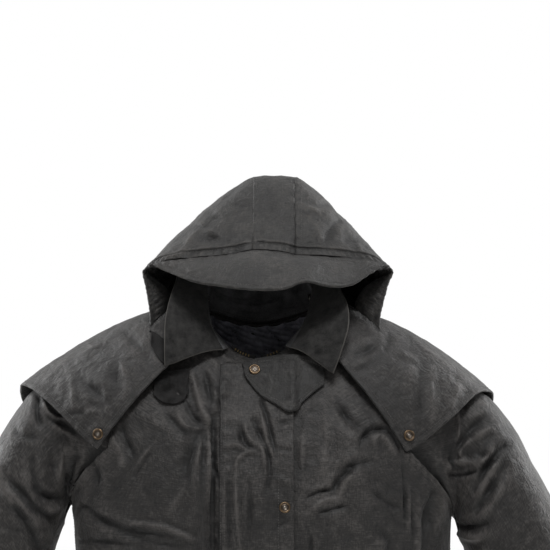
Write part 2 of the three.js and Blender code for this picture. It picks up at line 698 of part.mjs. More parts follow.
// The foremost y of some pieces at (x, z); above their upper edges, that edge's own y.
function foremost(under, x, z) {
  for (let drop = 0; drop < 40; drop += 2) {
    const found = under.map((cloth) => touch(cloth, "y", x, z - drop)).filter(Boolean);
    if (found.length) return Math.min(...found.map((hit) => hit.at.y)) + drop / 2;
  }
  return 0;
}
const fronts = [fly, frontLeft, frontRight];
const neckTab = tab(NECK_TAB, 10, 5, fronts, CLOTH, 1.7);
add("neck_tab", neckTab.geometry(), COLOURS.wax);
const throatTab = tab(THROAT_TAB, 6, 4, [frontLeft], CLOTH, 1.2);
add("throat_tab", throatTab.geometry(), COLOURS.dark, { roughness: 0.95 });
const throatStrap = tab(THROAT_STRAP, 4, 4, [cape], THIN, 1.2);
add("throat_strap", throatStrap.geometry(), COLOURS.dark, { roughness: 0.95 });

// A place inside a panel's grid, moved in from its inner face.
function inside(cloth, u, v, gap) {
  const [i, j] = [Math.min(Math.floor(u), cloth.cols - 1), Math.min(Math.floor(v), cloth.rows - 1)];
  const [a, b] = [u - i, v - j];
  const at = (grid) => {
    const upper = grid[j][i].clone().lerp(grid[j][i + 1], a);
    return upper.lerp(grid[j + 1][i].clone().lerp(grid[j + 1][i + 1], a), b);
  };
  return at(cloth.p).addScaledVector(at(cloth.t), -(1 + gap / cloth.thick));
}

// Quilted yoke lining inside the back of the neck, its puffs raised on the side that shows.
const QUILT = { first: 3, last: 17, rows: 4, steps: [20, 12], puff: 3.2, gap: 0.7, top: 0.05 };
const lining = new Cloth(QUILT.steps[1], QUILT.steps[0], (i, j) => {
  const u = mix(QUILT.first, QUILT.last, i / QUILT.steps[0]);
  return inside(back, u, mix(QUILT.top, QUILT.rows, j / QUILT.steps[1]), QUILT.gap);
}, { flip: true, thick: THIN });
lining.t.forEach((row, j) =>
  row.forEach((t, i) => {
    const border = i === 0 || j === 0 || i === QUILT.steps[0] || j === QUILT.steps[1];
    if (!border && i % 2 !== j % 2) t.multiplyScalar(1 + QUILT.puff / THIN);
  }),
);
add("lining_yoke", lining.geometry(), COLOURS.lining, { roughness: 0.5 });

// Zip tapes inside the fronts, and their open ends standing in the neck's front edge.
const ZIP = { width: 0.55, gap: 0.6, from: 0.6, in: 2.2, low: -7, high: 5, start: 2.5 };
for (const [side, panel, end] of [["left", frontLeft, -27], ["right", frontRight, 23]]) {
  const rows = RINGS.length - 2;
  const tape = new Cloth(rows, 2, (i, j) => {
    return inside(panel, (i / 2) * ZIP.width, Math.max(j, ZIP.from), ZIP.gap);
  }, { flip: side === "right", thick: THIN });
  add(`zip_tape_${side}`, tape.geometry(), COLOURS.dark);
  const open = new Cloth(2, 6, (i, j) => {
    const turn = mix(Math.sign(end) * ZIP.start, end, i / 6);
    const away = point(Math.sin(radians(turn)), -Math.cos(radians(turn)), 0);
    return body(turn, 0).addScaledVector(away, -ZIP.in).add(point(0, 0, mix(ZIP.high, ZIP.low, j / 2)));
  }, { flip: side === "right", thick: THIN });
  add(`zip_end_${side}`, open.geometry(), COLOURS.zip, { roughness: 0.5, metalness: 0.4 });
}

// Snap caps: a domed rim round a plain raised ring and a centre button.
function snapGeometry({ radius, rim, height, sides }) {
  const profile = [
    [0, 0],
    [radius - rim, 0],
    [radius, height * 0.4],
    [radius - rim, height],
    [radius * 0.62, height * 0.62],
    [radius * 0.3, height * 0.62],
    [0, height * 0.85],
  ];
  return new THREE.LatheGeometry(profile.map(([r, h]) => new THREE.Vector2(r, h)), sides);
}

function addSnap(name, place, face, size = SNAP) {
  const geometry = snapGeometry(size);
  add(name, geometry, COLOURS.brass, { roughness: 0.35, metalness: 0.9 });
  const mesh = coat.children[coat.children.length - 1];
  mesh.quaternion.setFromUnitVectors(point(0, 1, 0), face);
  mesh.position.copy(place).addScaledVector(face, GAP);
}

function snapOn(name, cloth, x, z) {
  const hit = touch(cloth, "y", x, z);
  addSnap(name, hit.at, hit.face);
}
for (let k = 0; k < SNAP_LINE.count; k += 1) {
  snapOn(`snap_fly_${k + 1}`, fly, SNAP_LINE.x, SNAP_LINE.first + k * SNAP_LINE.step);
}
snapOn("snap_cape_left", cape, CAPE_SNAPS.left[0], CAPE_SNAPS.left[1]);
snapOn("snap_cape_right", cape, CAPE_SNAPS.right[0], CAPE_SNAPS.right[1]);
snapOn("snap_neck_tab", neckTab, TAB_SNAP[0], TAB_SNAP[1]);

// Two small snaps on the inside of the stand.
for (const [side, column] of [["left", 11], ["right", 19]]) {
  const t = stand.t[1][column].clone().normalize().negate();
  const place = stand.p[1][column].clone().lerp(stand.p[2][column], 0.1);
  addSnap(`snap_stand_${side}`, place.addScaledVector(t, THIN + GAP), t, SMALL_SNAP);
}

// Tubes for the elastic loops and the drawcords, lying on the cape between collar and hood.
const resting = (x, y, radius, rise) => point(x, y, touch(cape, "z", x, y).at.z + radius + rise);

function tube(points, radius, sides, steps) {
  const ring = new THREE.Shape();
  for (let k = 0; k < sides; k += 1) {
    const turn = (2 * Math.PI * k) / sides;
    const [x, y] = [radius * Math.cos(turn), radius * Math.sin(turn)];
    if (k === 0) ring.moveTo(x, y);
    else ring.lineTo(x, y);
  }
  ring.closePath();
  const path = new THREE.CatmullRomCurve3(points, false, "centripetal");
  return new THREE.ExtrudeGeometry(ring, { steps, bevelEnabled: false, extrudePath: path });
}

for (const [name, x, y, along, inward, rise] of LOOPS.rows) {
  const points = [];
  for (let k = 0; k <= 8; k += 1) {
    const t = (Math.PI * k) / 8;
    const [a, b] = [LOOP.half * Math.cos(t), LOOP.reach * Math.sin(t)];
    const [sin, cos] = [Math.sin(radians(along)), Math.cos(radians(along))];
    const [px, py] = [x + a * sin + inward * b * cos, y + a * cos - inward * b * sin];
    points.push(resting(px, py, LOOP.radius, rise));
  }
  add(`hood_loop_${name}`, tube(points, LOOP.radius, LOOP.sides, 7), COLOURS.dark);
}

for (const [side, sign] of [["left", -1], ["right", 1]]) {
  const shift = side === "right" ? CORD_ROUTE.shift : 0;
  const cut = CORD_ROUTE.toggle;
  const route = CORD_ROUTE.rows.map(([x, y], k) => {
    const radius = k === cut || k === cut + 1 ? TOGGLE.radius : CORD.radius;
    return resting(sign * (x + shift), y, radius, CORD_ROUTE.rise);
  });
  const held = route.slice(0, cut + 1);
  const tail = route.slice(cut + 1);
  add(`drawcord_${side}`, tube(held, CORD.radius, CORD.sides, 20), COLOURS.dark);
  add(`drawcord_tail_${side}`, tube(tail, CORD.radius, CORD.sides, 5), COLOURS.dark);
  const [from, to] = [held[cut], tail[0]];
  const axis = to.clone().sub(from);
  const length = axis.length() - 4 * GAP;
  const toggle = new THREE.CylinderGeometry(TOGGLE.radius, TOGGLE.radius, length, 12);
  add(`toggle_${side}`, toggle, COLOURS.dark, { roughness: 0.4 });
  const mesh = coat.children[coat.children.length - 1];
  mesh.quaternion.setFromUnitVectors(point(0, 1, 0), axis.clone().normalize());
  mesh.position.copy(from).lerp(to, 0.5);
}

export default coat;
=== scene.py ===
# %% [markdown]
# # A long duster coat with a shoulder cape and a hood
# This lesson dresses a imported CAD model of a waxed-cotton duster coat. The CAD solids hold the
# true form of each cut piece: body panels, sleeves, cape, collar, hood and flies. Here each piece
# becomes a fine sheet on that same form, with the creases, seams, stitches and rubbed wax that the
# photograph shows, and shade painted into the troughs of the creases. Everything is in metres, in
# the CAD frame: x to the right, y to the back, z up, and the origin at the middle of the back neck
# seam.

# %% Load the fixed frame
import json
import math

import bpy
import numpy as np
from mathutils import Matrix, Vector, noise
from mathutils.bvhtree import BVHTree

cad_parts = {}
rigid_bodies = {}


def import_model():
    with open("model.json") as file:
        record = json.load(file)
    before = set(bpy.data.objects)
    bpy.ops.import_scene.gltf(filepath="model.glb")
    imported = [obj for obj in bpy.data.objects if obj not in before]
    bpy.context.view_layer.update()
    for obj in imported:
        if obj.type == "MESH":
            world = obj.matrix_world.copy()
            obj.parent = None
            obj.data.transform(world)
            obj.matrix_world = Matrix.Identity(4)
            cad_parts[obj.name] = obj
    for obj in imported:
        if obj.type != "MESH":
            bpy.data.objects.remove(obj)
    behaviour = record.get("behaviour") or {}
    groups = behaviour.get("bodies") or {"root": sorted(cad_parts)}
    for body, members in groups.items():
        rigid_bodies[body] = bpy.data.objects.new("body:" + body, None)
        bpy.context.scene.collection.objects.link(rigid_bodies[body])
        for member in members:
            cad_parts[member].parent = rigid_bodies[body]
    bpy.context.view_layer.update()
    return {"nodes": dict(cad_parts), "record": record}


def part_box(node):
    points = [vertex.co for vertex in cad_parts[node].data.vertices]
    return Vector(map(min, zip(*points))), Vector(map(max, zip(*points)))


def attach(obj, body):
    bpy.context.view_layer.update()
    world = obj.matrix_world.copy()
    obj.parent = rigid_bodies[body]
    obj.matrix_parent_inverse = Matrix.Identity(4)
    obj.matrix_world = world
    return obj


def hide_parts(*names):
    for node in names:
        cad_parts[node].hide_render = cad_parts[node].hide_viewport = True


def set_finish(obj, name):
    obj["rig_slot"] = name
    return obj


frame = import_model()

# %% [markdown]
# ## The camera
# The photograph looks straight at the chest from far away, so its lines hardly converge. A long
# lens 6.2 m away does the same. The picture is 715 mm wide at the coat, and its middle lies 22 mm
# to the right of the neck and 65 mm above it.

# %% Set the camera
MM = 0.001
VIEW_WIDTH = 715 * MM
VIEW_CENTRE = (22 * MM, 65 * MM)
VIEW_DISTANCE = 6.2

camera_data = bpy.data.cameras.new("camera")
camera_data.sensor_width = 36
camera_data.lens = 36 * VIEW_DISTANCE / VIEW_WIDTH
camera_data.clip_end = 60
camera = bpy.data.objects.new("camera", camera_data)
camera.location = (VIEW_CENTRE[0], -VIEW_DISTANCE - 0.15, VIEW_CENTRE[1])
camera.rotation_euler = (math.pi / 2, 0, 0)
bpy.context.scene.collection.objects.link(camera)
bpy.context.scene.camera = camera
print("lens in mm", round(camera_data.lens))

# %% [markdown]
# ## The drawcords
# Two thin black cords come out of the hood's face-edge casing. In the main view they're hidden
# behind the collar, and the side view of the hood shows their lengths. A curve with a round bevel
# makes the tube, and its points repeat the CAD route, so it lies where its solid lies.

# %% Lay the drawcords on the CAD route
CORD_THICK = 2.6
CORD_ROUTES = {
    "left": [
        (-115, -89, 21.5), (-110, -84, 24.7), (-105.5, -77, 27.5), (-104, -68, 29),
        (-106.5, -56, 28), (-110, -44, 25.3), (-110.5, -32, 20.7), (-107, -20, 16.6),
        (-102.5, -9, 9.3), (-97, -3, 3), (-90, 0, 2.3), (-83, 2, 1.2), (-75, 2, 1.7),
        (-67, 1, 3.6),
    ],
    "right": [
        (125, -89, 20.7), (120, -84, 23.7), (115.5, -77, 26.1), (114, -68, 27),
        (116.5, -56, 25), (120, -44, 21), (120.5, -32, 16.2), (117, -20, 12.8),
        (112.5, -9, 5.9), (107, -3, 0), (100, 0, -0.8), (93, 2, -1), (85, 2, 0.6),
        (77, 1, 2.9),
    ],
}


def smooth_route(points, steps=6):
    """More points on a Catmull-Rom line through these, in mm."""
    p = np.array(points, float)
    ends = np.vstack([2 * p[0] - p[1], p, 2 * p[-1] - p[-2]])
    found = []
    for k in range(len(p) - 1):
        a, b, c, d = ends[k], ends[k + 1], ends[k + 2], ends[k + 3]
        for s in range(steps):
            t = s / steps
            found.append(
                0.5 * (2 * b + (c - a) * t + (2 * a - 5 * b + 4 * c - d) * t * t
                       + (3 * b - a - 3 * c + d) * t ** 3)
            )
    found.append(p[-1])
    return np.array(found)


def route_length(points):
    return float(np.linalg.norm(np.diff(points, axis=0), axis=1).sum())


cords = {}
for side, points in CORD_ROUTES.items():
    line = smooth_route(points)
    curve = bpy.data.curves.new(f"drawcord_{side}_line", "CURVE")
    curve.dimensions = "3D"
    curve.bevel_depth = CORD_THICK / 2 * MM
    curve.bevel_resolution = 3
    curve.use_fill_caps = True
    spline = curve.splines.new("POLY")
    spline.points.add(len(line) - 1)
    for place, knot in zip(line, spline.points):
        knot.co = (*(place * MM), 1)
    drawn = bpy.data.objects.new(f"drawcord_{side}_drawn", curve)
    bpy.context.scene.collection.objects.link(drawn)
    bpy.context.view_layer.update()
    shaped = drawn.evaluated_get(bpy.context.evaluated_depsgraph_get())
    tube = bpy.data.meshes.new_from_object(shaped)
    bpy.data.objects.remove(drawn)
    cords[side] = bpy.data.objects.new(f"drawcord_{side}_woven", tube)
    bpy.context.scene.collection.objects.link(cords[side])
    print(side, "drawcord", round(route_length(line)), "mm")

# %% [markdown]
# ## The coat's sizes
# A pattern maker works from tables: how wide the body is at each height, where the armhole cuts
# it, where the cape ends. These are the CAD model's own tables, in millimetres, so each sheet
# lies on its solid. `look` reads a table smoothly between its rows.

# %% Tables of the body
CLOTH = 2.4
THIN = 1.6
HEM_Z = -1250


def table(names, rows):
    return {"names": names.split(), "rows": np.array(rows, float)}


def look(tab, key):
    """The columns of a table at a place between its rows, for one place or an array."""
    rows = tab["rows"]
    keys = rows[:, 0]
    last = len(keys) - 1
    key = np.asarray(key, float)
    k = np.clip(np.searchsorted(keys[1:], key, side="left"), 0, last - 1)
    span = keys[k + 1] - keys[k]
    t = np.clip((key - keys[k]) / span, 0, 1)
    before, after = np.maximum(k - 1, 0), np.minimum(k + 2, last)
    found = {}
    for c, name in enumerate(tab["names"]):
        v = rows[:, c]
        m = (v[k + 1] - v[before]) / (keys[k + 1] - keys[before]) * span
        n = (v[after] - v[k]) / (keys[after] - keys[k]) * span
        found[name] = (
            (2 * t ** 3 - 3 * t ** 2 + 1) * v[k] + (t ** 3 - 2 * t ** 2 + t) * m
            + (3 * t ** 2 - 2 * t ** 3) * v[k + 1] + (t ** 3 - t ** 2) * n
        )
    return found


BODY = table("at left right front back zFront zLeft zRight zBack square", [
    [0, 78, 78, -135, 0, -45, 24, 24, 0, 1],
    [1, 128, 128, -160, 20, -80, 10, 8, -28, 0.94],
    [2, 183, 183, -182, 36, -118, -14, -18, -66, 0.86],
    [3, 226, 227, -196, 46, -150, -46, -52, -100, 0.8],
    [4, 235, 238, -203, 53, -172, -84, -90, -138, 0.8],
    [5, 239, 243, -208, 58, -190, -122, -132, -172, 0.8],
    [6, 241, 247, -211, 62, -208, -160, -174, -203, 0.8],
    [7, 242, 250, -213, 65, -228, -198, -213, -232, 0.8],
    [8, 242, 252, -214, 67, -252, -234, -251, -258, 0.8],
    [9, 240, 252, -214, 68, -310, -305, -312, -314, 0.8],
    [10, 240, 250, -212, 66, -390, -388, -390, -392, 0.8],
    [11, 242, 250, -211, 63, -480, -480, -480, -480, 0.82],
    [12, 248, 256, -214, 66, -580, -580, -580, -580, 0.84],
    [13, 260, 266, -222, 76, -690, -690, -690, -690, 0.86],
    [14, 274, 280, -231, 87, -800, -800, -800, -800, 0.88],
    [15, 288, 294, -240, 98, -910, -910, -910, -910, 0.9],
    [16, 301, 307, -249, 108, -1020, -1020, -1020, -1020, 0.9],
    [17, 313, 319, -257, 117, -1130, -1130, -1130, -1130, 0.9],
    [18, 326, 332, -265, 126, HEM_Z, HEM_Z, HEM_Z, HEM_Z, 0.9],
])
SHOULDER = 3
UNDERARM = 8
ARMHOLE = table("at front back", [
    [3, 90, 90], [4, 57, 121], [5, 49, 127], [6, 57, 124], [7, 71, 112], [8, 90, 90],
])
FOLDS = [
    (-18.5, 9, 12, -60, -260, 6),
    (-12.2, 8, 9, -120, -820, 0),
    (-10, -6, 6, -120, -900, 0),
    (-40, 5, 22, -230, -640, -4),
    (23, 6, 18, -110, -330, 8),
    (40, -6, 16, -230, -560, -3),
    (33, 5, 18, -260, -800, 0),
]
FLUTES = {"count": 9, "start": -380, "depth": 15}


def ease(v):
    t = np.clip(v, 0, 1)
    return t * t * (3 - 2 * t)


def bell(v):
    return np.exp(-np.square(v))


def mix(a, b, t):
    return a + (b - a) * t


def power(v, p):
    return np.sign(v) * np.abs(v) ** p


def stack(x, y, z):
    return np.stack(np.broadcast_arrays(x, y, z), axis=-1)


def standing_folds(turn, z, half_width):
    """How far the large folds and the skirt's flutes push the body out, in mm."""
    out = np.zeros(np.broadcast(turn, z).shape)
    for at, depth, width, top, end, lean in FOLDS:
        run = (top - z) / (top - end)
        across = (turn - at - lean * run) * half_width * 1.25 / 60
        held = (run > 0) & (run < 1)
        out += held * depth * bell(across / width) * ease(run * 6) * ease((1 - run) * 3)
    grown = ease((FLUTES["start"] - z) / (FLUTES["start"] - HEM_Z)) * FLUTES["depth"]
    turned = np.radians(turn) * FLUTES["count"]
    return out + grown * (0.7 * np.cos(turned + 0.9) + 0.3 * np.cos(turned * 0.57 + 2))


def body(turn, at):
    """The body's surface, turn degrees round from the front centre, at a ring of the table."""
    r = look(BODY, at)
    s, c = np.sin(np.radians(turn)), np.cos(np.radians(turn))
    wide = np.where(s >= 0, r["right"], r["left"])
    z_side = np.where(s >= 0, r["zRight"], r["zLeft"])
    mid = (r["front"] + r["back"]) / 2
    half = (r["back"] - r["front"]) / 2
    z = mix(z_side, np.where(c >= 0, r["zFront"], r["zBack"]), c * c)
    x, y = wide * power(s, r["square"]), mid - half * power(c, r["square"])
    nearest = (np.asarray(turn, float) + 540) % 360 - 180
    out = standing_folds(nearest, z, wide)
    length = np.hypot(s * half, c * wide)
    return stack(x + out * s * half / length, y - out * c * wide / length, z)


print("chest across in mm", BODY["rows"][8, 1] + BODY["rows"][8, 2])

# %% [markdown]
# ## Sheets, seams and creases
# Each cut piece is a grid of points with a normal at each. Three things turn a smooth grid into
# cloth: soft troughs and ridges placed where the photograph has them, a small slow waviness, and
# puckers that run off each sewn line. The push along the normal is also kept as an attribute, and
# the material colours the cloth from it: paler on ridges, partly for wax rubbed off them and partly
# as a painted highlight, and darker in troughs, seam grooves and recesses as painted shade.

# %% A sheet and the ways to press it
class Sheet:
    """A grid of points in mm. The normals point out of the coat."""

    def __init__(self, points, flip=False, closed=False):
        self.p = np.array(points, float)
        self.closed = closed
        self.flip = flip
        self.wear_and_crease_shade = np.zeros(self.p.shape[:2])
        self.measure()

    def measure(self):
        if self.closed:
            across = np.roll(self.p, -1, axis=1) - np.roll(self.p, 1, axis=1)
        else:
            across = np.gradient(self.p, axis=1)
        down = np.gradient(self.p, axis=0)
        n = np.cross(across, down)
        n /= np.maximum(np.linalg.norm(n, axis=2, keepdims=True), 1e-9)
        self.n = -n if self.flip else n

    def push(self, amount, shade_and_wear=1.0):
        """Moves the points along their normals by an amount in mm."""
        self.p += self.n * amount[..., None]
        self.wear_and_crease_shade += amount * shade_and_wear
        self.measure()
        return self

    def widths(self):
        return np.linalg.norm(np.diff(self.p, axis=1), axis=2)

    def heights(self):
        return np.linalg.norm(np.diff(self.p, axis=0), axis=2)


def crease_line(points, steps=14):
    """A bent line through three places, as points with their share of the way."""
    a, b, c = (np.array(p, float) for p in points)
    t = np.linspace(0, 1, steps)[:, None]
    through = 2 * b - (a + c) / 2
    return (1 - t) ** 2 * a + 2 * t * (1 - t) * through + t ** 2 * c, t[:, 0]


def press(sheet, rows, facing=-1, shift=(0, 0), strength=1.0, narrow=1.0):
    """Soft ridges (depth above 0) and troughs, placed in x and z as seen from one side.
    A row is x z, x z at the middle, x z at the end, width and depth, in mm."""
    seen = (sheet.n[..., 1] * facing > 0.05).astype(float)
    x, z = sheet.p[..., 0] - shift[0], sheet.p[..., 2] - shift[1]
    total = np.zeros(x.shape)
    for x0, z0, x1, z1, x2, z2, width, depth in rows:
        line, share = crease_line([(x0, z0), (x1, z1), (x2, z2)])
        near = np.full(x.shape, 1e9)
        run = np.zeros(x.shape)
        for k in range(len(line) - 1):
            d = line[k + 1] - line[k]
            t = np.clip(((x - line[k][0]) * d[0] + (z - line[k][1]) * d[1]) / (d @ d), 0, 1)
            gap = np.hypot(x - line[k][0] - t * d[0], z - line[k][1] - t * d[1])
            closer = gap < near
            near = np.where(closer, gap, near)
            run = np.where(closer, mix(share[k], share[k + 1], t), run)
        taper = np.sin(np.pi * np.clip(run, 0.02, 0.98)) ** 0.6
        width = width * narrow
        taper = taper * (0.85 + 0.25 * np.sin(11 * run + x0 / 9 + z0 / 7))
        crest = 0.6 * bell(near / width) + 0.4 * np.exp(-1.9 * near / width)
        total += depth * taper * (crest - 0.3 * bell(near / width / 2.2))
    return sheet.push(total * seen * strength)


def slow_waves(sheet, depth, size, seed, sharp=0.0):
    """Uneven cloth: smooth noise of one size in mm. sharp makes narrow ridges of it."""
    amount = np.zeros(sheet.p.shape[:2])
    for j, row in enumerate(sheet.p):
        for i, p in enumerate(row):
            v = noise.noise(Vector((p[0] / size + seed, p[1] / size, p[2] / size)))
            amount[j, i] = v if not sharp else mix(v, 0.45 - 2 * abs(v), sharp)
    return sheet.push(amount * depth)


def pucker(sheet, distance, along, depth=0.7, pitch=13, reach=11, seed=0.0):
    """Small gathers that run off a sewn line. distance and along are in mm on the cloth."""
    uneven = 0.6 + 0.4 * np.sin(along / 47 + seed) + 0.3 * np.sin(along / 19 + 2 * seed)
    wave = np.sin(2 * np.pi * (along / pitch + 0.35 * np.sin(along / 31 + seed)))
    side = bell(distance / reach) * (1 - bell(distance / 3.5))
    groove = -0.9 * bell(distance / 2.6)
    return sheet.push(depth * uneven * wave * side + depth * groove, shade_and_wear=1.4)


def rows_of(sheet):
    """The distance along each row and down each column from its start, in mm."""
    across = np.concatenate([np.zeros((sheet.p.shape[0], 1)), np.cumsum(sheet.widths(), 1)], 1)
    down = np.concatenate([np.zeros((1, sheet.p.shape[1])), np.cumsum(sheet.heights(), 0)], 0)
    return across, down


print("a sheet's helpers are ready")

# %% [markdown]
# A sheet becomes a mesh with one quad a cell. Its UV map holds real distances in metres, so a weave
# keeps its scale on every piece. A Solidify modifier then gives the cloth its wall, inwards from
# the outer face. Each sheet's cut size, as a cutter would lay it out, is printed.

# %% Turn a sheet into a mesh
pieces_made = []


def build_mesh(name, points, faces, uvs=None, values=None):
    mesh = bpy.data.meshes.new(name)
    mesh.from_pydata([tuple(p) for p in np.asarray(points) * MM], [], faces)
    if uvs is not None:
        layer = mesh.uv_layers.new(name="cut")
        corners = np.zeros(len(mesh.loops), np.int32)
        mesh.loops.foreach_get("vertex_index", corners)
        layer.data.foreach_set("uv", np.asarray(uvs)[corners].ravel())
    for key, value in (values or {}).items():
        attribute = mesh.attributes.new(key, "FLOAT", "POINT")
        attribute.data.foreach_set("value", np.asarray(value, np.float32).ravel())
    mesh.polygons.foreach_set("use_smooth", [True] * len(mesh.polygons))
    mesh.update()
    piece = bpy.data.objects.new(name, mesh)
    bpy.context.scene.collection.objects.link(piece)
    return piece


def sew_up(name, sheet, thick=CLOTH, extra=None):
    """The sheet as a mesh with real-size UVs, the attribute of rubbed wax and painted crease shade,
    and a wall.
    """
    rows, cols = sheet.p.shape[:2]
    spans = cols if sheet.closed else cols - 1
    faces = []
    for j in range(rows - 1):
        for i in range(spans):
            a, b = j * cols + i, j * cols + (i + 1) % cols
            quad = (a, b, b + cols, a + cols)
            faces.append(quad if not sheet.flip else quad[::-1])
    mid = sheet.widths()[rows // 2]
    u = np.concatenate([[0], np.cumsum(mid)]) * MM
    v = np.concatenate([[0], np.cumsum(sheet.heights()[:, cols // 2])]) * MM
    uvs = np.stack(np.meshgrid(u, v), axis=-1).reshape(-1, 2)
    soft = sheet.wear_and_crease_shade - np.median(sheet.wear_and_crease_shade)
    values = {"wear_and_crease_shade": soft, **(extra or {})}
    piece = build_mesh(name, sheet.p.reshape(-1, 3), faces, uvs, values)
    wall = piece.modifiers.new("wall", "SOLIDIFY")
    wall.thickness = thick * MM
    wall.offset = -1
    wall.use_rim = True
    pieces_made.append(piece)
    return piece


def cut_size(sheet):
    """Width and length of the cut in metres, and the cloth's area in square metres."""
    width = sheet.widths().sum(1).max() * MM
    length = sheet.heights().sum(0).max() * MM
    a = sheet.p[:-1, 1:] - sheet.p[:-1, :-1]
    b = sheet.p[1:, :-1] - sheet.p[:-1, :-1]
    area = np.linalg.norm(np.cross(a, b), axis=2).sum() * MM * MM
    if sheet.closed:
        width += np.linalg.norm(sheet.p[:, 0] - sheet.p[:, -1], axis=1).max() * MM
    return (width, length), float(min(max(area, 0.31 * width * length), width * length))


def finish_cloth(name, sheet, node, slot, thick=CLOTH, extra=None):
    piece = sew_up(name, sheet, thick, extra)
    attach(piece, "root")
    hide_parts(node)
    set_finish(piece, slot)
    flat, area = cut_size(sheet)
    print(name, "cut", [round(v * 1000) for v in flat], "mm,", round(area, 3), "m2")
    return piece


print("cloth helpers are ready")


# %% [markdown]
# ## The shoulder cape
# The cape is one piece cut round the neck, and its two front corners are snapped to the chest. The
# outer end of each shoulder turns under a little, so that its dark inside shows. Lines run from
# the neck to the hem, each a straight lerp with a bow, as in the CAD model.

# %% Form the cape
CAPE = table("at turn x y z bowY bowZ", [
    [0, -46, -208, -176, -160, -24, 15],
    [0.06, -57, -226, -164, -146, -22, 16],
    [0.12, -68, -254, -142, -119, -18, 17],
    [0.18, -78, -282, -112, -95, -10, 18],
    [0.23, -87, -300, -84, -84, -4, 19],
    [0.28, -97, -313, -52, -84, 2, 20],
    [0.34, -112, -306, -2, -120, 12, 22],
    [0.4, -132, -252, 56, -210, 24, 18],
    [0.45, -156, -140, 88, -276, 28, 8],
    [0.5, -180, 0, 94, -296, 28, 4],
    [0.55, -204, 140, 88, -276, 28, 8],
    [0.6, -228, 252, 56, -214, 24, 18],
    [0.66, -248, 302, -2, -132, 12, 22],
    [0.72, -263, 309, -52, -96, 2, 22],
    [0.77, -273, 300, -84, -88, -4, 22],
    [0.82, -282, 284, -112, -92, -10, 20],
    [0.88, -292, 254, -142, -119, -18, 17],
    [0.94, -303, 216, -164, -150, -22, 17],
    [1, -314, 192, -176, -164, -24, 16],
])
CAPE_RISE = 1.9


def cape_points(rows=88, cols=280):
    i, j = np.meshgrid(np.linspace(0, 1, cols + 1), np.linspace(0, 1, rows + 1))
    r = look(CAPE, i)
    turned = np.radians(r["turn"])
    side = ease((np.abs((r["turn"] + 540) % 360 - 180) - 46) / 34)
    out, up = mix(9, 5, side), mix(-3, 4, side)
    top = body(r["turn"], 0 * i) + stack(np.sin(turned) * out, -np.cos(turned) * out, up)
    bow = 4 * j * (1 - j)
    hem = stack(r["x"], r["y"], r["z"])
    return mix(top, hem, j[..., None]) + stack(0, r["bowY"] * bow, r["bowZ"] * bow)


CAPE_CREASES = [
    (-246, -58, -241, -92, -240, -118, 4, 3),
    (-236, -64, -214, -84, -190, -104, 8, -4.5),
    (-200, -76, -197, -98, -193, -114, 4, 2.6),
    (-186, -42, -172, -64, -171, -92, 5, 3.6),
    (-178, -40, -184, -60, -186, -84, 7, -3),
    (-248, -120, -236, -114, -222, -116, 4, -3),
    (-232, -118, -214, -112, -202, -116, 4, 2.4),
    (-268, -54, -230, -38, -196, -20, 6, 2.4),
    (-180, -6, -156, -26, -140, -52, 7, -3),
    (-226, -22, -216, -30, -208, -28, 3, 2.4),
    (-290, -74, -270, -84, -262, -100, 7, -2.2),
    (180, -34, 192, -40, 204, -44, 4, 3),
    (214, -40, 212, -80, 214, -120, 9, -3.4),
    (262, -74, 256, -96, 250, -112, 5, 3.2),
    (120, -42, 140, -34, 160, -24, 7, -5),
    (164, -36, 142, -52, 120, -60, 6, -3.4),
    (172, -8, 168, -24, 162, -34, 6, -3),
    (196, -12, 220, -34, 250, -52, 6, 2.2),
    (228, -60, 224, -90, 226, -126, 6, 2.4),
    (286, -72, 274, -88, 266, -102, 6, -2.2),
]
CAPE_BACK_CREASES = [
    (-205, -240, -120, -330, -30, -352, 10, 5.5),
    (205, -250, 118, -336, 26, -360, 10, 5.5),
    (-210, -282, -130, -362, -60, -380, 9, -5),
    (204, -296, 130, -372, 58, -388, 9, -5),
    (-170, -300, -150, -420, -162, -560, 14, -6),
    (150, -310, 168, -430, 154, -580, 14, -6),
    (-60, -380, -72, -560, -66, -760, 18, 6.5),
    (54, -400, 44, -590, 58, -800, 18, -6),
    (-200, -480, -216, -640, -222, -820, 16, 6),
    (190, -500, 204, -660, 216, -860, 16, 6),
    (0, -640, -8, -820, 4, -1040, 22, 7),
    (-130, -760, -146, -920, -150, -1120, 20, -7),
    (132, -740, 150, -900, 158, -1120, 20, 7),
]
cape = Sheet(cape_points())
cape.p += cape.n * CAPE_RISE
cape.measure()
cape_plain = Sheet(cape.p.copy())
slow_waves(cape, 1.6, 80, 4.4)
slow_waves(cape, 1.1, 26, 9.9, sharp=0.7)
slow_waves(cape, 0.4, 10, 3.9, sharp=0.8)
press(cape, CAPE_CREASES, strength=1.25)
press(cape, CAPE_BACK_CREASES, facing=1)
across, down = rows_of(cape)
cape_hem = down[-1:] - down
pucker(cape, np.abs(cape_hem - 8), across, depth=0.5, pitch=14, reach=8, seed=0.9)
nearest_front = np.minimum(across, across[:, -1:] - across)
pucker(cape, np.abs(nearest_front - 8), down, depth=0.4, pitch=14, reach=8, seed=1.9)
cape_cloth = finish_cloth("cape_cloth", cape, "cape", "waxed_cotton")

# %% [markdown]
# Cloth that lies under another layer stays flat there, so nothing pokes through. A search tree of
# the upper layer tells which points of the lower one it covers.

# %% Keep covered cloth flat
def surface_tree(*sheets):
    points, faces = [], []
    for sheet in sheets:
        base = len(points)
        rows, cols = sheet.p.shape[:2]
        points += [Vector(p) for p in sheet.p.reshape(-1, 3)]
        for j in range(rows - 1):
            for i in range(cols - 1):
                a = base + j * cols + i
                faces.append((a, a + 1, a + cols + 1, a + cols))
    return BVHTree.FromPolygons(points, faces)


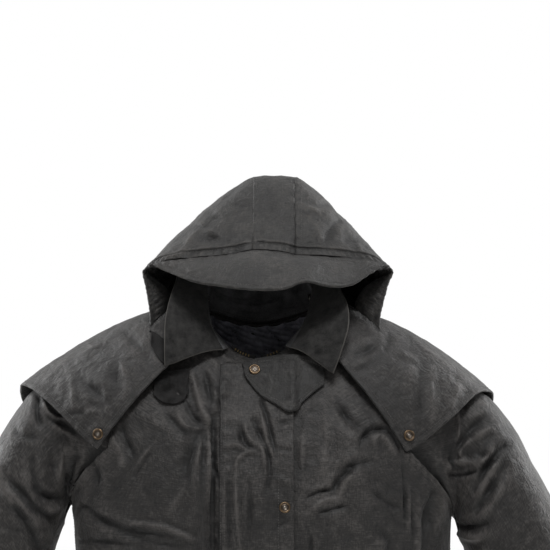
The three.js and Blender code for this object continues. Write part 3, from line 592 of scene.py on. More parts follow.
def covered(sheet, tree, reach=16):
    """1 where the tree's surface lies just outside the sheet, fading to 0 round it."""
    found = np.zeros(sheet.p.shape[:2])
    for j, (row, normals) in enumerate(zip(sheet.p, sheet.n)):
        for i, (p, n) in enumerate(zip(row, normals)):
            hit = tree.ray_cast(Vector(p) - Vector(n) * 3, Vector(n), reach + 3)
            found[j, i] = 1.0 if hit[0] is not None else 0.0
    for _ in range(3):
        padded = np.pad(found, 1, mode="edge")
        found = np.maximum(found, (padded[:-2, 1:-1] + padded[2:, 1:-1]
                                   + padded[1:-1, :-2] + padded[1:-1, 2:]) / 4)
    return found


def hold_flat(sheet, plain, mask, sink=2.0):
    sheet.p = mix(sheet.p, plain - sheet.n * sink, mask[..., None])
    sheet.wear_and_crease_shade *= 1 - mask
    sheet.measure()
    return sheet


cape_tree = surface_tree(cape)
print("cape tree ready")

# %% [markdown]
# ## The body panels
# Two fronts and a back hang from the neck seam. The fronts carry tall soft folds beside the storm
# fly and long slanted folds towards the armholes. The crease table gives each one: three
# places seen from the front, a width and a depth. The hidden back gets similar ones.

# %% Creases of the fronts and the back
FRONT_CREASES = [
    (-87, -60, -78, -92, -66, -124, 6, 6.5),
    (-66, -114, -64, -160, -65, -232, 4.5, 6),
    (-57, -116, -58.5, -190, -58, -310, 4, -7),
    (-70, -60, -64, -84, -60, -116, 5, -5),
    (-104, -110, -94, -130, -70, -133, 5, 4.5),
    (-94, -98, -84, -118, -70, -125, 4.5, -5),
    (-124, -104, -112, -122, -94, -142, 7, -3),
    (-72, -138, -77, -166, -84, -212, 4.5, 4.5),
    (-76, -146, -90, -168, -93, -204, 8, -4.5),
    (-70, -162, -70, -190, -73, -222, 4, -3),
    (-92, -196, -98, -214, -116, -240, 7, 2.6),
    (-128, -142, -150, -172, -168, -196, 4.5, 2.6),
    (-136, -160, -150, -180, -160, -198, 3, -1.8),
    (-178, -126, -172, -148, -160, -170, 8, -4.5),
    (-186, -150, -176, -176, -186, -196, 8, 2.4),
    (-218, -238, -188, -258, -112, -272, 7, -6.5),
    (-172, -257, -118, -262, -66, -288, 4, 5),
    (-190, -262, -150, -276, -96, -286, 6, -4),
    (-240, -284, -196, -280, -140, -287, 5, -4),
    (-218, -168, -209, -194, -212, -222, 7, -5),
    (-236, -250, -228, -236, -216, -244, 5, -3),
    (-56, -162, -53, -190, -45, -214, 2.6, -4),
    (-53, -256, -47, -272, -41, -300, 2.6, -6),
    (-50, -110, -51, -150, -50, -200, 3, 2.4),
    (102, -98, 116, -120, 138, -137, 7, -5),
    (132, -158, 144, -137, 170, -136, 5.5, -6.5),
    (168, -135, 178, -148, 186, -172, 4, -4),
    (148, -158, 160, -144, 178, -176, 7, 4.5),
    (102, -188, 124, -180, 146, -176, 8, -5.5),
    (98, -216, 106, -198, 124, -184, 7, -5.5),
    (122, -192, 110, -206, 104, -228, 5, 3.5),
    (62, -223, 80, -214, 98, -212, 4, -5),
    (70, -240, 84, -226, 104, -224, 5, 3.6),
    (76, -243, 96, -237, 116, -232, 5.5, -4.5),
    (148, -212, 162, -226, 186, -238, 5, -3.4),
    (186, -180, 190, -224, 190, -264, 2.8, -4),
    (194, -206, 195, -238, 193, -270, 3, 3.6),
    (198, -222, 200, -256, 200, -296, 2.6, -3),
    (204, -212, 207, -230, 209, -248, 3, 2.6),
    (232, -214, 222, -240, 214, -296, 10, -8),
    (206, -250, 208, -280, 200, -320, 6, 4),
    (150, -262, 168, -276, 166, -300, 8, -4),
    (60, -256, 68, -276, 66, -306, 3.4, -4),
    (62, -118, 57, -170, 60, -220, 6, 2.6),
    (84, -116, 88, -150, 80, -190, 9, 2.4),
    (-120, -380, -132, -480, -126, -600, 16, 6),
    (130, -360, 146, -470, 138, -620, 18, 6.5),
    (-190, -420, -205, -560, -212, -700, 15, -6),
    (196, -430, 214, -560, 220, -720, 15, -6),
    (-90, -640, -110, -800, -118, -980, 20, 6),
    (104, -660, 118, -820, 128, -1010, 20, 6),
    (-236, -322, -170, -356, -96, -372, 10, -5),
    (-230, -300, -170, -334, -110, -352, 8, 4.5),
    (236, -318, 172, -350, 110, -366, 10, 5),
    (226, -350, 170, -384, 120, -392, 9, -4.5),
]
BACK_CREASES = [
    (-205, -240, -120, -330, -30, -352, 13, 4),
    (205, -250, 118, -336, 26, -360, 13, 4),
    (-170, -300, -150, -420, -162, -560, 18, -4),
    (150, -310, 168, -430, 154, -580, 18, 4),
    (-60, -380, -72, -560, -66, -760, 22, 4.5),
    (54, -400, 44, -590, 58, -800, 22, -4),
    (-200, -480, -216, -640, -222, -820, 20, 4),
    (190, -500, 204, -660, 216, -860, 20, 4),
    (0, -640, -8, -820, 4, -1040, 26, 5),
    (-130, -760, -146, -920, -150, -1120, 24, -5),
    (132, -740, 150, -900, 158, -1120, 24, 5),
]
RINGS = np.concatenate([np.arange(0, 9, 0.05), np.arange(9, 18.001, 0.18)])


def side_turn(at, face):
    cut = look(ARMHOLE, np.clip(at, SHOULDER, UNDERARM))[face]
    return np.where((at > SHOULDER) & (at < UNDERARM), cut, 90.0)


NEAR, FAR = 50, 58
FRONT_TURNS = np.concatenate([np.linspace(0.03, 29, NEAR), np.zeros(FAR)])


def front_points(side):
    end = side_turn(RINGS, "front")[:, None]
    share = np.concatenate([np.zeros(NEAR), np.arange(1, FAR + 1) / FAR])[None, :]
    turn = np.where(share > 0, mix(29, end, share), FRONT_TURNS[None, :])
    return body(side * turn, RINGS[:, None] + 0 * turn)


fronts = {"left": Sheet(front_points(-1)), "right": Sheet(front_points(1), flip=True)}
start = side_turn(RINGS, "back")[:, None]
back_turns = mix(start, 360 - start, np.linspace(0, 1, 101)[None, :])
back = Sheet(body(back_turns, RINGS[:, None] + 0 * back_turns), flip=True)
edge_lines = {
    "left": (fronts["left"].p[:, -1].copy(), back.p[:, -1].copy()),
    "right": (fronts["right"].p[:, -1].copy(), back.p[:, 0].copy()),
}
armhole_rows = np.where((RINGS >= SHOULDER - 1e-6) & (RINGS <= UNDERARM + 1e-6))[0]
print("front grid", fronts["left"].p.shape, "back grid", back.p.shape)

# %% Press and sew the body
for side, sheet in fronts.items():
    plain = sheet.p.copy()
    under_cape = covered(sheet, cape_tree)
    slow_waves(sheet, 2.2, 90, 3.1 if side == "left" else 8.4)
    slow_waves(sheet, 1.5, 30, 5.7, sharp=0.7)
    slow_waves(sheet, 0.5, 11, 2.2, sharp=0.8)
    press(sheet, FRONT_CREASES, strength=1.75, narrow=0.85)
    across, down = rows_of(sheet)
    from_side = across[:, -1:] - across
    pucker(sheet, from_side, down, depth=0.8, pitch=15, seed=1.3)
    # The raised armhole edge of each front also reads paler in colour there, as a painted highlight.
    lower_armhole = ease((-122 - sheet.p[..., 2]) / 24) * ease((sheet.p[..., 2] + 262) / 20)
    sheet.push(3.2 * bell(from_side / 11) * lower_armhole, shade_and_wear=0.5)
    if side == "left":
        seam_x = np.abs(sheet.p[..., 0] + 50)
        pucker(sheet, seam_x, down, depth=1.3, pitch=17, reach=13, seed=0.4)
    lower = sheet.p[..., 2] - HEM_Z
    pucker(sheet, np.abs(lower - 22), across, depth=0.6, pitch=16, seed=2.2)
    under_fly = ease((sheet.p[..., 0] + 47) / 4) * ease((45 - sheet.p[..., 0]) / 4)
    under_fly *= sheet.p[..., 2] < -50
    hold_flat(sheet, plain, np.maximum(under_cape, under_fly), sink=1.5)
    finish_cloth(f"front_{side}_cloth", sheet, f"front_{side}", "waxed_cotton")

plain = back.p.copy()
under_cape = covered(back, cape_tree, reach=40)
slow_waves(back, 2.4, 95, 12.2)
slow_waves(back, 1.4, 30, 2.9, sharp=0.7)
press(back, BACK_CREASES, facing=1)
across, down = rows_of(back)
nearest_side = np.minimum(across, across[:, -1:] - across)
pucker(back, nearest_side, down, depth=0.8, pitch=15, seed=0.8)
pucker(back, np.abs(back.p[..., 2] - HEM_Z - 22), across, depth=0.6, pitch=16, seed=1.1)
hold_flat(back, plain, under_cape)
finish_cloth("back_cloth", back, "back", "waxed_cotton")

# %% [markdown]
# ## The sleeves
# A sleeve is a tube whose first ring is the armhole's own line and whose other rings follow a
# table of sections. Cloth that hangs from a shoulder makes slanted knuckle folds under the arm
# and rings above the elbow, so those are pressed in on the side that shows, and again a
# little lower on the side that doesn't.

# %% Sections of the sleeves
SLEEVES = {
    "left": table("at ox oz ix iz mid deep", [
        [0, -262, -58, -248, -240, -64, 60],
        [1, -286, -78, -251, -246, -64, 64],
        [2, -306, -96, -254, -253, -65, 70],
        [3, -333, -134, -259, -268, -66, 74],
        [4, -356, -180, -267, -292, -67, 75],
        [5, -376, -225, -280, -330, -68, 74],
        [6, -408, -300, -312, -390, -70, 70],
        [7, -436, -372, -346, -440, -73, 66],
        [8, -466, -450, -380, -502, -78, 62],
        [9, -493, -520, -410, -562, -84, 58],
        [10, -519, -592, -428, -628, -90, 55],
    ]),
    "right": table("at ox oz ix iz mid deep", [
        [0, 262, -65, 258, -258, -64, 60],
        [1, 286, -81, 260, -265, -64, 64],
        [2, 309, -99, 262, -273, -65, 70],
        [3, 338, -136, 264, -284, -66, 74],
        [4, 359, -178, 272, -298, -67, 75],
        [5, 381, -220, 287, -328, -68, 74],
        [6, 418, -292, 322, -384, -70, 70],
        [7, 450, -362, 358, -434, -73, 66],
        [8, 482, -438, 394, -494, -78, 62],
        [9, 511, -508, 426, -552, -84, 58],
        [10, 540, -578, 448, -616, -90, 55],
    ]),
}
SLEEVE_CREASES = {
    "left": [
        (-236, -166, -246, -194, -250, -226, 5, -9),
        (-248, -152, -258, -182, -262, -214, 6, 5),
        (-278, -94, -274, -116, -252, -121, 3.5, 5),
        (-268, -100, -264, -112, -254, -116, 5, -8),
        (-285, -86, -289, -112, -282, -134, 5, -5.5),
        (-272, -122, -254, -131, -238, -142, 4.5, -5),
        (-266, -132, -250, -140, -234, -154, 5, 4),
        (-320, -124, -312, -142, -290, -146, 6, -3),
        (-292, -168, -294, -190, -284, -212, 5, -3.5),
        (-294, -206, -278, -222, -256, -226, 6, -7.5),
        (-300, -216, -282, -238, -258, -240, 6, 4.5),
        (-328, -198, -302, -224, -272, -252, 7, -6),
        (-324, -214, -304, -240, -284, -262, 5, 4),
        (-322, -234, -298, -262, -286, -296, 7, -5.5),
        (-340, -262, -316, -266, -300, -272, 4, -2.4),
        (-346, -176, -336, -206, -318, -232, 9, 3.6),
        (-380, -290, -352, -330, -318, -352, 9, -6),
        (-384, -306, -356, -348, -322, -366, 7, 5),
        (-330, -372, -372, -392, -416, -380, 9, 6),
        (-440, -420, -400, -450, -362, -452, 9, -6),
        (-446, -438, -404, -466, -370, -470, 7, 4.5),
        (-388, -480, -424, -520, -470, -530, 10, 5),
        (-496, -560, -462, -580, -424, -584, 9, -4),
    ],
    "right": [
        (246, -190, 258, -180, 288, -181, 4.5, 7),
        (250, -196, 266, -196, 290, -188, 3.4, -6),
        (248, -150, 250, -170, 256, -188, 4.5, -8),
        (286, -181, 300, -172, 306, -158, 5, 5),
        (268, -178, 265, -164, 276, -152, 4, 5),
        (274, -153, 296, -140, 324, -126, 5, 4.5),
        (284, -164, 292, -170, 300, -160, 5, -4.5),
        (262, -160, 274, -140, 304, -116, 6, -5),
        (258, -112, 262, -134, 258, -158, 4, 4.5),
        (328, -156, 304, -176, 282, -214, 6, -8),
        (318, -172, 300, -196, 286, -224, 5, 5),
        (322, -184, 302, -214, 284, -242, 6, -5.5),
        (330, -196, 310, -226, 290, -250, 6, 3.5),
        (256, -262, 276, -264, 302, -256, 6.5, -7),
        (260, -274, 282, -278, 310, -268, 6, 4.5),
        (352, -262, 344, -276, 340, -290, 5, -2.5),
        (290, -286, 322, -318, 362, -330, 10, 6),
        (392, -284, 362, -326, 330, -346, 9, -6),
        (342, -368, 384, -386, 430, -370, 9, 6),
        (452, -408, 412, -440, 374, -444, 9, -6),
        (458, -424, 416, -456, 380, -460, 7, 4.5),
        (400, -470, 438, -508, 486, -516, 10, 5),
        (514, -548, 480, -566, 442, -570, 9, -4),
    ],
}


def sleeve_points(side):
    front_edge, back_edge = (line[armhole_rows] for line in edge_lines[side])
    loop = np.concatenate([front_edge, back_edge[::-1]])
    half = len(loop) // 2
    turns = np.concatenate([np.linspace(5, 175, half), np.linspace(185, 355, half)])
    c, s = np.cos(np.radians(turns)), np.sin(np.radians(turns))

    def ring(at):
        r = look(SLEEVES[side], at)
        middle = np.array([(r["ox"] + r["ix"]) / 2, r["mid"], (r["oz"] + r["iz"]) / 2])
        out = np.array([(r["ox"] - r["ix"]) / 2, 0, (r["oz"] - r["iz"]) / 2])
        cap = np.outer(power(c, 0.92), out)
        return middle + cap + np.outer(power(s, 0.92), [0, -r["deep"], 0])

    first, second = ring(0), ring(0.5)
    rings = []
    for t in np.linspace(0, 1, 9)[:-1]:
        h = np.array([2 * t ** 3 - 3 * t ** 2 + 1, t ** 3 - 2 * t ** 2 + t,
                      3 * t ** 2 - 2 * t ** 3, t ** 3 - t ** 2])
        rings.append(h[0] * loop + h[1] * (first - loop) + h[2] * first + h[3] * (second - first))
    rings += [ring(at) for at in np.arange(0, 10.001, 0.1)]
    return np.array(rings)


for side in ("left", "right"):
    sheet = Sheet(sleeve_points(side), closed=True, flip=side == "left")
    plain = sheet.p.copy()
    under_cape = covered(sheet, cape_tree)
    slow_waves(sheet, 2.2, 70, 6.3 if side == "left" else 1.9)
    slow_waves(sheet, 1.0, 24, 7.7, sharp=0.7)
    press(sheet, SLEEVE_CREASES[side], strength=1.7, narrow=0.9)
    press(sheet, SLEEVE_CREASES[side], facing=1, shift=(6, -22), strength=0.8)
    down = np.concatenate([np.zeros((1, sheet.p.shape[1])), np.cumsum(sheet.heights(), 0)], 0)
    along = np.cumsum(np.linalg.norm(sheet.p - np.roll(sheet.p, 1, axis=1), axis=2), 1)
    # The armpit recess is pushed in, and through the ridge attribute its push also darkens the cloth
    # there as painted shade.
    pit = ease((-140 - sheet.p[..., 2]) / 24) * ease((sheet.p[..., 2] + 268) / 20)
    pit *= ease(down / 6) * bell((down - 13) / 10) * (sheet.n[..., 1] < 0)
    sheet.push(-15 * pit, shade_and_wear=0.5)
    pucker(sheet, down, along, depth=0.8, pitch=15, seed=0.2)
    pucker(sheet, np.abs(down[-1:] - down - 24), along, depth=0.6, pitch=15, seed=1.6)
    hold_flat(sheet, plain, under_cape)
    finish_cloth(f"sleeve_{side}_cloth", sheet, f"sleeve_{side}", "waxed_cotton")

# %% [markdown]
# ## The hood
# The hood has two sides and a centre strip between them. Its lower edge rests on the cape, so a
# ray from above finds the cape's height there. Each arch rises straight to its widest place and
# then closes over the crown. A few rounds of averaging take the corner off between the two.

# %% Form the hood
HOOD = table(
    "step baseL baseR baseY wideL wideR wideZ wideY topZ topY roof tuck pinch",
    [
        [0, -141, 159, -119, -152, 177, 68, -106, 91, -112, 2.3, 1.8, 0],
        [1, -119, 129, -88, -149, 173, 66, -86, 118, -96, 1.9, 1, 13],
        [2, -136, 153, -72, -147, 170, 65, -64, 146, -72, 1.6, 1, 0],
        [3, -142, 157, -58, -146, 168, 65, -44, 170, -48, 1.42, 1, 0],
        [4.5, -141, 154, -30, -144, 166, 66, -16, 193, -8, 1.24, 1, 0],
        [6, -135, 147, 4, -139, 160, 66, 14, 193, 26, 1.28, 1, 0],
        [7.5, -120, 130, 30, -127, 142, 62, 42, 172, 60, 1.5, 1, 0],
        [9, -100, 108, 44, -110, 120, 54, 62, 130, 84, 1.8, 1, 0],
        [10.4, -74, 80, 52, -84, 92, 34, 72, 66, 92, 2, 1, 0],
        [12, -40, 46, 56, -44, 50, -32, 60, -30, 66, 2, 1, 0],
    ],
)
STRIP = {"left": -7, "right": 48}
HOOD_ROWS = np.concatenate([np.linspace(0, 1, 33), np.linspace(1, 12, 89)[1:]])
WALL_COLUMNS, ROOF_COLUMNS = 24, 72
plain_cape_tree = surface_tree(cape_plain)


def height_on(tree, x, y, missing):
    hit = tree.ray_cast(Vector((x, y, 400)), Vector((0, 0, -1)))
    return hit[0].z if hit[0] is not None else missing


def hood_side_points(side):
    r = look(HOOD, HOOD_ROWS)
    base_x = r["baseL"] if side < 0 else r["baseR"]
    wide_x = r["wideL"] if side < 0 else r["wideR"]
    base_z = np.array([
        max(height_on(plain_cape_tree, x, y, -40) + 3.8, -34) for x, y in zip(base_x, r["baseY"])
    ])
    for _ in range(6):
        base_z[1:-1] = np.maximum(base_z[1:-1], (base_z[:-2] + base_z[2:]) / 2)
    t = np.linspace(0, 1, WALL_COLUMNS + 1)[None, :]
    column = {k: v[:, None] for k, v in r.items()}
    drawn_in = side * column["pinch"] * np.sin(np.pi * t)
    wall = stack(
        mix(base_x[:, None], wide_x[:, None], t ** column["tuck"]) - drawn_in,
        mix(column["baseY"], column["wideY"], t),
        mix(base_z[:, None], column["wideZ"], t),
    )
    angle = np.linspace(0, math.pi / 2, ROOF_COLUMNS + 1)[None, 1:]
    c = np.cos(angle).clip(0) ** (2 / column["roof"])
    s = np.sin(angle) ** (2 / column["roof"])
    narrow = np.minimum(1, np.abs(wide_x[:, None]) / 70)
    top_x = (STRIP["left"] if side < 0 else STRIP["right"]) * narrow
    roof = stack(
        mix(top_x, wide_x[:, None], c),
        mix(column["wideY"], column["topY"], s),
        mix(column["wideZ"], column["topZ"], s),
    )
    return lift_peak(np.concatenate([wall, roof], axis=1), HOOD_ROWS)


def lift_peak(points, rows):
    """The small peak of the brim's seam, beside the middle."""
    fade = np.maximum(0, 1 - rows / 2)[:, None]
    points[..., 2] += 8 * fade * bell((points[..., 0] - 2) / 34)
    return points


def soften(sheet, times, keep_edges=True):
    for _ in range(times):
        inner = (sheet.p[:-2, 1:-1] + sheet.p[2:, 1:-1] + sheet.p[1:-1, :-2] + sheet.p[1:-1, 2:]) / 4
        sheet.p[1:-1, 1:-1] = mix(sheet.p[1:-1, 1:-1], inner, 0.5)
        if not keep_edges:
            sheet.p[0, 1:-1] = (sheet.p[0, :-2] + 2 * sheet.p[0, 1:-1] + sheet.p[0, 2:]) / 4
    sheet.measure()
    return sheet


sides = {"left": Sheet(hood_side_points(-1)), "right": Sheet(hood_side_points(1), flip=True)}
t = np.linspace(0, 1, 23)
strip_left, strip_right = sides["left"].p[:, -1].copy(), sides["right"].p[:, -1].copy()
strip_points = mix(strip_left[:, None], strip_right[:, None], t[None, :, None])
strip_points[..., 2] += (8 * t * (1 - t))[None, :]
strip = Sheet(strip_points)
print("hood grids", sides["left"].p.shape, strip.p.shape)

# %% [markdown]
# The brim is sewn to the front of the three hood pieces, just above the hood's widest corners. It
# slopes down and forwards to a waved hem, with a row of stitching near the hem and another beside
# the seam.

# %% Form the brim
BRIM = table("at x y z", [
    [0, -139, -114, 79],
    [0.12, -112, -136, 67],
    [0.25, -80, -160, 56],
    [0.42, -24, -184, 48],
    [0.58, 30, -192, 47],
    [0.68, 62, -184, 57],
    [0.78, 96, -168, 50],
    [0.86, 124, -150, 53],
    [0.93, 149, -130, 69],
    [1, 168, -115, 76],
])
SEAM_COLUMN = WALL_COLUMNS + 12
BAND = 10.5
seam_line = np.concatenate([
    sides["left"].p[0, SEAM_COLUMN:],
    strip.p[0, 1:-1],
    sides["right"].p[0, SEAM_COLUMN:][::-1],
])


def brim_points(rows=26):
    first, last = BRIM["rows"][0, 1], BRIM["rows"][-1, 1]
    across = np.clip((seam_line[:, 0] - first) / (last - first), 0, 1)
    hem = look(BRIM, across)
    v = np.linspace(0, 1, rows + 1)[:, None]
    bow = 4 * v * (1 - v) * 9 * np.sin(np.pi * across)[None, :]
    line = mix(seam_line[None], stack(hem["x"], hem["y"], hem["z"])[None], v[..., None])
    line[..., 2] += bow
    return line


HOOD_CREASES = [
    (-86, 118, -66, 122, -44, 112, 4, 2.6),
    (-78, 110, -64, 114, -50, 112, 6, -3),
    (-104, 92, -92, 108, -80, 122, 5, 2.6),
    (-134, 84, -110, 90, -84, 98, 4, 2.4),
    (-64, 150, -56, 142, -44, 140, 5, -2.6),
    (-90, 136, -66, 134, -40, 134, 4, 2.2),
    (-32, 160, -22, 156, -12, 158, 4, -2.2),
    (48, 160, 74, 150, 98, 148, 4, 3.2),
    (56, 166, 76, 160, 92, 158, 5, -2.4),
    (112, 138, 96, 128, 86, 98, 7, -3.6),
    (72, 132, 80, 118, 78, 104, 5, 2.2),
    (130, 108, 136, 96, 150, 88, 6, 2.6),
    (104, 118, 116, 110, 128, 112, 6, -2.4),
    (-144, 52, -134, 36, -138, 6, 5, -3),
    (-130, 52, -136, 38, -128, 22, 4, 2.4),
    (168, 56, 158, 40, 150, 20, 4, -3),
    (142, 48, 140, 28, 138, 2, 4, -3),
    (150, 30, 146, 8, 148, -12, 5, 3),
]
HOOD_BACK_CREASES = [
    (-80, 130, -92, 80, -70, 20, 11, 3),
    (82, 130, 96, 80, 74, 16, 11, -3),
    (-30, 60, 0, 46, 34, 62, 9, 3),
    (-46, 24, 0, 10, 50, 26, 8, -2.4),
]
brim = Sheet(brim_points(), flip=True)
def seam_band(sheet, down, across, sewn, seed):
    """The band sewn twice above the brim, with small puckers between its two seams."""
    ripple = np.sin(2 * np.pi * (across / 9 + 0.25 * np.sin(across / 23 + seed)))
    sheet.push(sewn * 0.8 * ripple * bell((down - BAND / 2) / (BAND / 2.6)), shade_and_wear=1.6)
    sheet.push(sewn * -1.1 * bell((down - BAND) / 1.6), shade_and_wear=2.2)
    sheet.push(sewn * 0.9 * bell((down - BAND - 3.2) / 2.0), shade_and_wear=1.5)
    return sheet


for name, sheet, seed in (("side_left", sides["left"], 2.1), ("side_right", sides["right"], 5.2)):
    soften(sheet, 14)
    plain = sheet.p.copy()
    slow_waves(sheet, 1.5, 55, seed)
    slow_waves(sheet, 1.7, 24, seed + 3, sharp=0.7)
    slow_waves(sheet, 0.6, 10, seed + 6, sharp=0.6)
    press(sheet, HOOD_CREASES, strength=1.5)
    press(sheet, HOOD_BACK_CREASES, facing=1)
    across, down = rows_of(sheet)
    if name == "side_right":
        pucker(sheet, across[:, -1:] - across, down, depth=0.7, pitch=13, reach=9, seed=seed)
    on_wall = (np.arange(sheet.p.shape[1]) < 30)[None, :] * (0.4 + 0.6 * ease(across / 20))
    gather = np.sin(2 * np.pi * (across / 6.5 + 0.3 * np.sin(across / 9 + seed) + down / 60))
    sheet.push(on_wall * 1.6 * gather * bell((down - 13) / 12), shade_and_wear=1.6)
    sewn = (np.arange(sheet.p.shape[1]) >= SEAM_COLUMN)[None, :]
    seam_band(sheet, down, across, sewn, seed)
    pucker(sheet, np.abs(across - 9), down, depth=0.5, pitch=13, reach=8, seed=seed + 2)
    if name == "side_left":
        sheet.p = mix(plain, sheet.p, ease((across[:, -1:] - across) / 12)[..., None])
        sheet.measure()
    finish_cloth(f"hood_{name}_cloth", sheet, f"hood_{name}", "hood_cloth")
strip_plain = strip.p.copy()
slow_waves(strip, 0.8, 45, 7.9)
slow_waves(strip, 1.4, 22, 3.7, sharp=0.7)
across, down = rows_of(strip)
seam_band(strip, down, across, 1.0, 0.6)
strip.p = mix(strip_plain, strip.p, ease(across / 12)[..., None])
strip.measure()
pucker(strip, across[:, -1:] - across, down, depth=0.4, pitch=13, reach=8)
finish_cloth("hood_strip_cloth", strip, "hood_centre_strip", "hood_cloth")
slow_waves(brim, 1.2, 40, 9.4)
slow_waves(brim, 0.9, 16, 5.4, sharp=0.7)
across, down = rows_of(brim)
pucker(brim, np.abs(down - 2), across, depth=1.0, pitch=12, reach=11, seed=0.5)
pucker(brim, np.abs(down[-1:] - down - 8), across, depth=0.5, pitch=14, reach=7, seed=1.5)
finish_cloth("hood_brim_cloth", brim, "hood_brim", "hood_cloth")

# %% [markdown]
# ## The collar
# The stand rises from the neck seam to the roll line, and the suede leaf falls outwards from
# there. The leaf's turned edge is rubbed pale, so each point keeps its distance from that edge
# for the material.

# %% Form the collar
COLLAR = table("at nx ny nz fx fy fz ex ey ez", [
    [0, -40, -130, -32, -46, -138, -33, -121, -172, -53],
    [0.12, -58, -113, -8, -63, -117, 1, -122, -165, -14],
    [0.22, -72, -90, 14, -67, -88, 30, -119, -140, 18],
    [0.32, -77, -62, 24, -67, -58, 54, -110, -102, 52],
    [0.42, -58, -20, 14, -52, -14, 58, -88, -28, 92],
    [0.5, 0, 1.5, 1, 0, 12, 54, 0, 42, 104],
    [0.58, 58, -20, 14, 52, -14, 58, 88, -28, 92],
    [0.68, 77, -62, 24, 69, -58, 52, 108, -102, 47],
    [0.78, 72, -90, 14, 69, -88, 28, 118, -138, 22],
    [0.88, 56, -115, -8, 60, -118, 1, 116, -163, -10],
    [1, 36, -132, -30, 42, -140, -30, 98, -172, -63],
])


def collar_points(first, second, rows, cols=170):
    i, v = np.meshgrid(np.linspace(0, 1, cols + 1), np.linspace(0, 1, rows + 1))
    r = look(COLLAR, i)
    ends = {
        "n": stack(r["nx"], r["ny"], r["nz"] + 1.4),
        "f": stack(r["fx"], r["fy"], r["fz"]),
        "e": stack(r["ex"], r["ey"], r["ez"]),
    }
    points = mix(ends[first], ends[second], v[..., None])
    if first == "f":
        points[..., 2] += 24 * v * (1 - v) ** 2
    return points


stand = Sheet(collar_points("n", "f", 34), flip=True)
leaf = Sheet(collar_points("f", "e", 40), flip=True)
slow_waves(stand, 2.2, 26, 3.3)
STAND_CREASES = [
    (-58, 46, -24, 34, 6, 42, 3.5, 4), (-52, 34, -10, 22, 30, 32, 3, -4),
    (2, 48, 8, 28, 2, 8, 3.5, 4), (12, 34, 36, 22, 66, 26, 3, 4),
    (-40, 22, -16, 12, 10, 14, 3, -3), (20, 52, 40, 40, 64, 44, 4, -3.4),
]
press(stand, STAND_CREASES, facing=1)
slow_waves(leaf, 2.0, 42, 4.8)
slow_waves(leaf, 0.7, 12, 7.3, sharp=0.5)
across, down = rows_of(leaf)
leaf_edge = np.minimum(down[-1:] - down, np.minimum(across, across[:, -1:] - across))
leaf.push(-0.8 * bell((leaf_edge - 3.4) / 1.4), shade_and_wear=0)
stand_piece = finish_cloth("collar_stand_cloth", stand, "collar_stand", "dark_cloth", thick=THIN)
finish_cloth("collar_leaf_suede", leaf, "collar_leaf", "suede", thick=THIN,
             extra={"edge": leaf_edge})

# %% [markdown]
# ## The storm fly and the tabs
# The fly covers the zip: its left edge is sewn down in a puckered line and its right edge is free,
# held by snaps. The pointed neck tab and the dark throat tab lie flat on it and on the front.
# Rays along y find what each lies on, and averaging keeps it as smooth as stiff cloth.

# %% Form the fly
FLY = {"sewn": -49, "free": 46, "top": -52, "lift": 1.4}


def on_front(x, z):
    """The body's surface at a place seen from the front."""
    low, high = np.zeros(x.shape), np.full(x.shape, 18.0)

    def turn_at(at):
        r = look(BODY, at)
        share = np.minimum(np.abs(x) / np.where(x < 0, r["left"], r["right"]), 1)
        return np.degrees(np.sign(x) * np.arcsin(share ** (1 / r["square"])))

    for _ in range(26):
        at = (low + high) / 2
        above = body(turn_at(at), at)[..., 2] > z
        low, high = np.where(above, at, low), np.where(above, high, at)
    return body(turn_at(low), low)


fly_z = np.concatenate([np.arange(FLY["top"], -420, -2.4), np.arange(-420, HEM_Z + 4, -12.0),
                        [HEM_Z + 4]])
x, z = np.meshgrid(np.linspace(FLY["sewn"], FLY["free"], 46), fly_z)
fly = Sheet(on_front(x, z), flip=True)
fly.p += fly.n * (CLOTH + FLY["lift"])
fly.measure()
FLY_CREASES = [
    (-10, -164, -24, -170, -29, -186, 3.5, 4.5),
    (-28, -180, -28, -230, -22, -292, 3.5, 4.5),
    (-38, -154, -22, -156, 0, -167, 4, 3.4),
    (-16, -126, -14, -141, 0, -157, 4, 4.5),
    (-20, -132, -19, -148, -8, -160, 5, -4),
    (-8, -118, 0, -135, 8, -152, 4, -4),
    (2, -96, 11, -118, 24, -170, 4, -5),
    (3, -104, 12, -150, 20, -168, 3.5, 3.6),
    (0, -150, 8, -170, 12, -202, 4, 3.6),
    (10, -150, 14, -182, 10, -218, 4, -4),
    (-12, -196, -10, -236, -14, -286, 5, -3.4),
    (-38, -190, -38, -240, -36, -300, 4, -3.4),
    (25, -127, 34, -125, 44, -124, 4, -2.6),
    (26, -158, 35, -160, 44, -160, 4, -2.6),
    (24, -196, 34, -200, 44, -204, 5, 2.2),
    (20, -214, 28, -226, 42, -246, 5, 2),
    (18, -262, 30, -256, 42, -246, 5, -2),
    (-36, -420, -28, -560, -34, -700, 9, 3),
    (8, -480, 14, -640, 6, -820, 10, 3),
]
slow_waves(fly, 1.8, 60, 1.4)
slow_waves(fly, 0.8, 22, 2.6, sharp=0.7)
press(fly, FLY_CREASES, strength=1.9, narrow=0.9)
across, down = rows_of(fly)
pucker(fly, across - 1, down, depth=1.2, pitch=16, reach=12, seed=0.4)
pucker(fly, np.abs(across[:, -1:] - across - 20), down, depth=0.45, pitch=15, reach=7, seed=1.2)
fly.push(1.6 * bell((across[:, -1:] - across) / 10), shade_and_wear=0.3)
fly_cloth = finish_cloth("storm_fly_cloth", fly, "storm_fly", "waxed_cotton")

# %% Form the tabs
NECK_TAB = table("x upper lower", [
    [-20, -52, -60], [-9, -46, -78], [5, -43, -93], [27, -40, -106], [43, -39, -113],
    [64, -41, -95], [86, -50, -77],
])
THROAT_TAB = table("x upper lower", [
    [-136, -66, -88], [-129, -62, -97], [-118, -60, -102], [-104, -58, -102], [-95, -57, -96],
    [-89, -58, -84],
])
THROAT_STRAP = table("x upper lower", [
    [-141, -10, -17], [-136, -9, -32], [-129, -13, -43], [-122, -19, -51],
])


